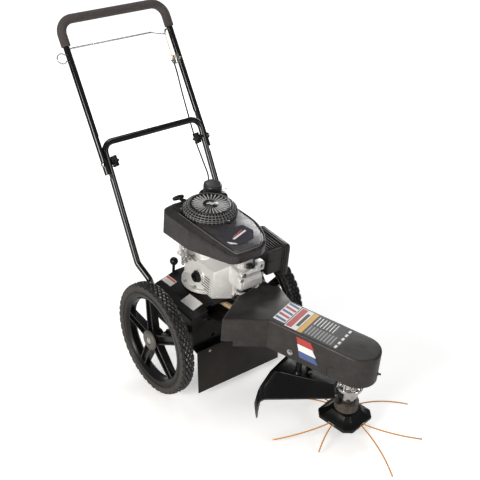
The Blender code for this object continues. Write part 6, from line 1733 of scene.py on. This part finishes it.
# Spindle, guard, head and lines, heights below the top of the arm
HOUSING_RADIUS = 0.027
HOUSING_LOW = -0.199
BEAM_LOW = -0.0965
GUARD_SEAT = -0.15
GUARD_TOP = -0.1565
GUARD_REACH = 0.213
GUARD_RADIUS = 0.248
GUARD_HALF_ANGLE = math.radians(40)
GUARD_FLAT_ANGLE = math.radians(19)
GUARD_DROP = 0.038
GUARD_SKIRT = 0.044
GUARD_FLARE = 0.016
GUARD_SPREAD = 1.15
GUARD_SHEET = 0.003
SPACER_HEIGHT = 0.026
HEAD_HALF = 0.0642
HEAD_CORNER = 0.68
HEAD_HEIGHT = 0.0345
HEAD_TURN = math.radians(9)
HEAD_TOP = HOUSING_LOW - GAP - SPACER_HEIGHT - GAP
HEAD_LOW = HEAD_TOP - HEAD_HEIGHT
CUP_RADIUS = 0.02
CUP_LOW = (CUP_RADIUS - ARM_PLACE[1]) * math.tan(TILT) - ARM_PLACE[2]
LINE_RADIUS = 0.00195
LINE_HEIGHT = HEAD_LOW + 0.0065
LINE_POST_DEPTH = 0.011
LINE_SPACING = 0.0115
LINE_BEND = 0.4
LINE_STEP = 0.0058
# Free ends of the lines, as machine coordinates, two for each exit of the head, as in the part's source
LINE_TIPS = [((0.24, -0.345, 0.03), (0.318, -0.556, 0.01)), ((0.0, -0.325, 0.046), (0.085, -0.3, 0.044)),
        ((-0.04, -0.556, 0.01), (-0.108, -0.436, 0.012)), ((0.232, -0.694, 0.007), (0.052, -0.752, 0.006))]


def quarters(radius, start):
    """Four spots round Z with their angles, the first at a number of degrees."""
    return [(radius * math.cos(a), radius * math.sin(a), a)
            for a in (math.radians(start + 90 * k) for k in range(4))]


def make_spindle_housing():
    """The bright bearing housing: necked body, flange with four nuts on studs, and four lugs."""
    top = BEAM_LOW - GAP
    seat = GUARD_SEAT
    profile = [(0.0125, top), (0.045, top), (0.046, top - 0.001), (0.046, top - 0.007),
            (0.0448, top - 0.0082), (0.033, top - 0.011), (0.029, top - 0.0135),
            (HOUSING_RADIUS, top - 0.017), (HOUSING_RADIUS, seat + 0.0125), (0.028, seat + 0.0105),
            (0.038, seat + 0.0092), (0.0392, seat + 0.008), (0.0392, seat + GAP),
            (HOUSING_RADIUS, seat + GAP), (HOUSING_RADIUS, HOUSING_LOW + 0.013),
            (HOUSING_RADIUS - 0.0012, HOUSING_LOW + 0.01), (HOUSING_RADIUS - 0.003, HOUSING_LOW + 0.002),
            (HOUSING_RADIUS - 0.0042, HOUSING_LOW), (0.0125, HOUSING_LOW)]
    body = turned(profile, 96, closed=True)
    parts = [body]
    for x, y, _ in quarters(0.033, 45):
        parts.append(rod((x, y, seat + 0.0091), (x, y, seat + 0.0108), 0.008, 28, edge=0.0003))
        parts.append(rod((x, y, seat + 0.0108), (x, y, seat + 0.0192), 0.0068, 6, edge=0.0009))
        parts.append(rod((x, y, seat + 0.019), (x, y, seat + 0.0245), 0.0038, 20, edge=0.0006))
    for _, _, a in quarters(1, 0):
        rib = block((0.025, -0.0028, seat + 0.008), (0.0385, 0.0028, seat + 0.03), 0.002, 3)
        parts.append(moved(rib, turn=spin(a)))
    for x, y, _ in quarters(0.0395, 20):
        parts.append(rod((x, y, top - 0.0085), (x, y, top - 0.0118), 0.0062, 6, edge=0.0006))
    piece("bearing_housing", merged(*parts), CHROME, ON_ARM, "spindle_housing", sharp=34)


def guard_rim(angle):
    return min(GUARD_REACH / math.cos(angle), GUARD_RADIUS)


def guard_height(angle):
    """Height of the guard at a turn from the arm: flat behind it, falling straight to each side."""
    share = max(0.0, abs(angle) - GUARD_FLAT_ANGLE) / (GUARD_HALF_ANGLE - GUARD_FLAT_ANGLE)
    return GUARD_TOP - GUARD_DROP * share


def guard_row(angle):
    """A section of the guard from the spindle to the foot of its skirt."""
    reach = guard_rim(angle)
    height = guard_height(angle)
    row = []
    for share in (0.1, 0.3, 0.5, 0.7, 0.88, 0.955, 0.972, 0.986, 0.996):
        radius = share * reach
        drop = 0.0035 * max(0.0, (share - 0.955) / 0.041) ** 2
        row.append((radius * math.sin(angle), radius * math.cos(angle), height - drop))
    for part in (0.12, 0.22, 0.38, 0.56, 0.74, 0.9, 1.0):
        turn = angle * (1 + (GUARD_SPREAD - 1) * part)
        radius = reach + GUARD_FLARE * math.sqrt(part)
        row.append((radius * math.sin(turn), radius * math.cos(turn), height - GUARD_SKIRT * part))
    return row


def make_guard():
    """The fan-shaped guard: folded sheet with beaded edges, half collar, two posts and bolts. The beads are
    lighter than the black sheet: painted highlights along its edges and creases.
    """
    turns = list(np.linspace(GUARD_FLAT_ANGLE, GUARD_HALF_ANGLE, 18))
    turns = [-t for t in turns[::-1]] + list(np.linspace(-GUARD_FLAT_ANGLE, GUARD_FLAT_ANGLE,
            19))[1:-1] + turns
    rows = [guard_row(a) for a in turns]
    verts = [p for row in rows for p in row]
    count = len(rows[0])
    faces = []
    for i in range(len(rows) - 1):
        for k in range(count - 1):
            a = i * count + k
            faces.append((a, a + 1, a + count + 1, a + count))
    fan = thickened(new_mesh(verts, faces), GUARD_SHEET, 0.0)
    beads = []
    for _, side in SIDES:
        row = guard_row(side * GUARD_HALF_ANGLE)
        beads.append(tube([Vector(p) + UP * 0.0004 for p in row], 0.0022, 16))
        crease = guard_row(side * (GUARD_FLAT_ANGLE + 0.006))[1:6]
        beads.append(tube([Vector(p) + UP * 0.0004 for p in crease], [0.0006, 0.0017, 0.0017, 0.0017, 0.0006],
                12))
    beads.append(tube([row[-1] for row in rows], 0.0021, 12))
    start = math.radians(12)
    outer = arc((0, 0), 0.041, start, math.pi - start, 48)
    inner = arc((0, 0), HOUSING_RADIUS + 0.0006, math.pi - start, start, 48)
    posts = [plate(outer + inner, GUARD_SEAT - 0.047, GUARD_SEAT, 0.0015, 3)]
    for x in (-0.035, 0.035):
        posts.append(rod((x, 0.15, GUARD_TOP), (x, 0.15, BEAM_LOW - GAP), 0.009, 36))
        posts.append(rod((x, 0.15, GUARD_TOP), (x, 0.15, GUARD_TOP + 0.008), 0.013, 36, end_radius=0.0092))
    bore = rod((0, 0, GUARD_SEAT - 0.08), (0, 0, GUARD_SEAT + 0.03), HOUSING_RADIUS + 0.0005, 64)
    piece("guard_body", cut(fan, bore), GUARD_PLASTIC, ON_ARM, "guard", sharp=32)
    # The beads are drawn lighter than the guard: painted highlights
    piece("guard_ribs", merged(*beads), GUARD_BEAD_HIGHLIGHT, ON_ARM)
    piece("guard_posts", merged(*posts), BLACK_PLASTIC, ON_ARM)
    bolts("guard_bolt", [(x, 0.1233, GUARD_TOP + 0.0014) for x in (-0.0134, 0.0134)], UP, 0.0078, 0.004,
            ON_ARM, DARK_STEEL)
    for k, a in enumerate(math.radians(angle) for angle in (28, 90, 152)):
        place = (0.0408 * math.cos(a), 0.0408 * math.sin(a), GUARD_SEAT - 0.018)
        bolt = hex_bolt(place, (math.cos(a), math.sin(a), 0), 0.0078, 0.004)
        piece("collar_bolt_%d" % (k + 1), bolt, DARK_STEEL, ON_ARM)


def exit_turn(k):
    """Turn of one of the head's four line exits."""
    return spin(HEAD_TURN - ARM_YAW + k * math.pi / 2)


def octagon(half, height):
    """A square with cut corners, its flats at the line exits."""
    edge = half * HEAD_CORNER
    flat = [(half, -edge), (half, edge), (edge, half), (-edge, half), (-half, edge), (-half, -edge),
            (-edge, -half), (edge, -half)]
    turn = Matrix.Rotation(HEAD_TURN - ARM_YAW, 2)
    flat = [tuple(turn @ Vector(p)) for p in flat]
    return [(x, y, height) for x, y in rounded_outline(flat, half * 0.07, 6)]


def make_trimmer_head():
    """The flared head with its slots for the lines, the collar above it and the cup below it."""
    levels = [(0.0618, 0.0), (0.0636, 0.0008), (0.0642, 0.0024), (0.0642, 0.0092), (0.0633, 0.0108),
            (0.0606, 0.0124), (0.0548, 0.0152), (0.0494, 0.0186), (0.0444, 0.0232), (0.0402, 0.0282),
            (0.0374, 0.0325), (0.0362, 0.0338), (0.0345, HEAD_HEIGHT)]
    body = loft([octagon(half, HEAD_LOW + height) for half, height in levels])
    loop = LINE_SPACING / 2
    half_height = LINE_RADIUS + 0.0006
    depth = LINE_POST_DEPTH + loop + LINE_RADIUS + 0.001
    side = loop + LINE_RADIUS + 0.0008
    tools = []
    posts = []
    for k in range(4):
        turn = exit_turn(k)
        slot = block((HEAD_HALF - depth, -side, LINE_HEIGHT - half_height),
                (HEAD_HALF + 0.01, side, LINE_HEIGHT + half_height))
        tools.append(moved(slot, turn=turn))
        post = rod((HEAD_HALF - LINE_POST_DEPTH, 0, LINE_HEIGHT - 0.0035),
                (HEAD_HALF - LINE_POST_DEPTH, 0, LINE_HEIGHT + 0.0035), 0.003, 20)
        posts.append(moved(post, turn=turn))
    tools.append(rod((0, 0, HEAD_LOW - 0.01), (0, 0, HEAD_TOP + 0.01), 0.0124, 48))
    piece("head_body", cut(body, *tools), BLACK_PLASTIC, ON_HEAD, "trimmer_head", sharp=30)
    piece("line_posts", merged(*posts), STEEL, ON_HEAD)
    eyelets = []
    for k in range(4):
        turn = exit_turn(k)
        line = rounded_outline([(-side - 0.001, LINE_HEIGHT - half_height - 0.001),
                (side + 0.001, LINE_HEIGHT - half_height - 0.001),
                (side + 0.001, LINE_HEIGHT + half_height + 0.001),
                (-side - 0.001, LINE_HEIGHT + half_height + 0.001)], 0.0022, 5)
        eyelets.append(moved(tube([(HEAD_HALF, y, z) for y, z in line], 0.0009, 8, closed=True), turn=turn))
    piece("line_eyelets", merged(*eyelets), STEEL, ON_HEAD)
    top = HOUSING_LOW - GAP
    low = top - SPACER_HEIGHT
    profile = [(0.0124, top), (0.0336, top), (0.0348, top - 0.0012), (0.035, top - 0.005),
            (0.034, top - 0.0062), (0.034, low + 0.0075), (0.035, low + 0.0062), (0.035, low + 0.0012),
            (0.0338, low), (0.0124, low)]
    collar = merged(turned(profile, 72, closed=True),
            *[moved(block((0.033, -0.0022, low + 0.008), (0.0352, 0.0022, top - 0.0066), 0.0006),
            turn=spin(k * FULL_TURN / 12)) for k in range(12)])
    piece("head_collar", collar, COLLAR_GREY, ON_HEAD, "head_spacer")
    piece("head_shaft", rod((0, 0, HEAD_LOW + 0.004), (0, 0, -0.05), 0.012, 48, edge=0.0008), STEEL, ON_HEAD,
            "spindle_shaft")
    top = HEAD_LOW - GAP
    profile = [(0.0, top), (0.033, top), (0.034, top - 0.0008), (0.034, CUP_LOW + 0.015),
            (0.0334, CUP_LOW + 0.0095), (0.0305, CUP_LOW + 0.0052), (0.026, CUP_LOW + 0.002), (0.02, CUP_LOW),
            (0.0, CUP_LOW)]
    piece("cup", turned(profile, 72), BLACK_PLASTIC, ON_HEAD, "skid_cup")


def make_pulleys():
    """The two grooved pulleys of the belt drive, under the cover."""
    profile = [(0.037, 0.0092), (0.0362, 0.01), (0.02, 0.01), (0.019, 0.009), (0.0123, 0.009),
            (0.0123, -0.01), (0.0362, -0.01), (0.037, -0.0092), (0.037, -0.0071), (0.0277, -0.007),
            (0.0277, 0.007), (0.037, 0.0071)]
    low = 0.297
    piece("driven_sheave", turned(profile, 72, closed=True), DARK_STEEL,
            ("head", ARM @ shift(0, 0, low - ARM_PLACE[2])), "driven_pulley")
    wide = [(max(r, 0.0128), z) for r, z in profile]
    piece("drive_sheave", turned(wide, 72, closed=True), DARK_STEEL,
            ("crank", ENGINE @ shift(0, 0, low - ENGINE_PLACE[2])), "drive_pulley")


def make_lines():
    """The four lines, each looped round its post with both ends out of the head."""
    to_head = (spin(TILT, "X") @ shift(*ARM_PLACE) @ spin(ARM_YAW)).inverted()
    loop_radius = LINE_SPACING / 2
    for k, tips in enumerate(LINE_TIPS):
        turn = exit_turn(k)
        half_turn = arc((HEAD_HALF - LINE_POST_DEPTH, 0), loop_radius, math.pi / 2, 3 * math.pi / 2, 8)
        loop = [turn @ Vector((x, y, LINE_HEIGHT)) for x, y in half_turn]
        ends = []
        for side, tip in zip((1, -1), tips):
            tip = to_head @ Vector(tip)
            mouth = turn @ Vector((HEAD_HALF + 0.004, side * loop_radius, LINE_HEIGHT))
            reach = (tip - mouth).length
            ahead = mouth + turn @ Vector((reach / 2, 0, 0))
            knee = ((mouth + tip) / 2).lerp(ahead, LINE_BEND)
            count = round(reach / LINE_STEP)
            ends.append([tuple(mouth.lerp(knee, t).lerp(knee.lerp(tip, t), t))
                    for t in np.linspace(0, 1, count + 1)])
        points = ends[0][::-1] + [tuple(p) for p in loop] + ends[1]
        points = [tuple(ARM @ Vector(p)) for p in points]
        line = dressed("line_%d" % (k + 1), tube(points, LINE_RADIUS, 14), NYLON)
        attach(line, "head")
        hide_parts("trimmer_line_%d" % (k + 1))
        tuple(points[0])
        length_of(points)


make_lines()
make_spindle_housing()
make_guard()
make_trimmer_head()
make_pulleys()
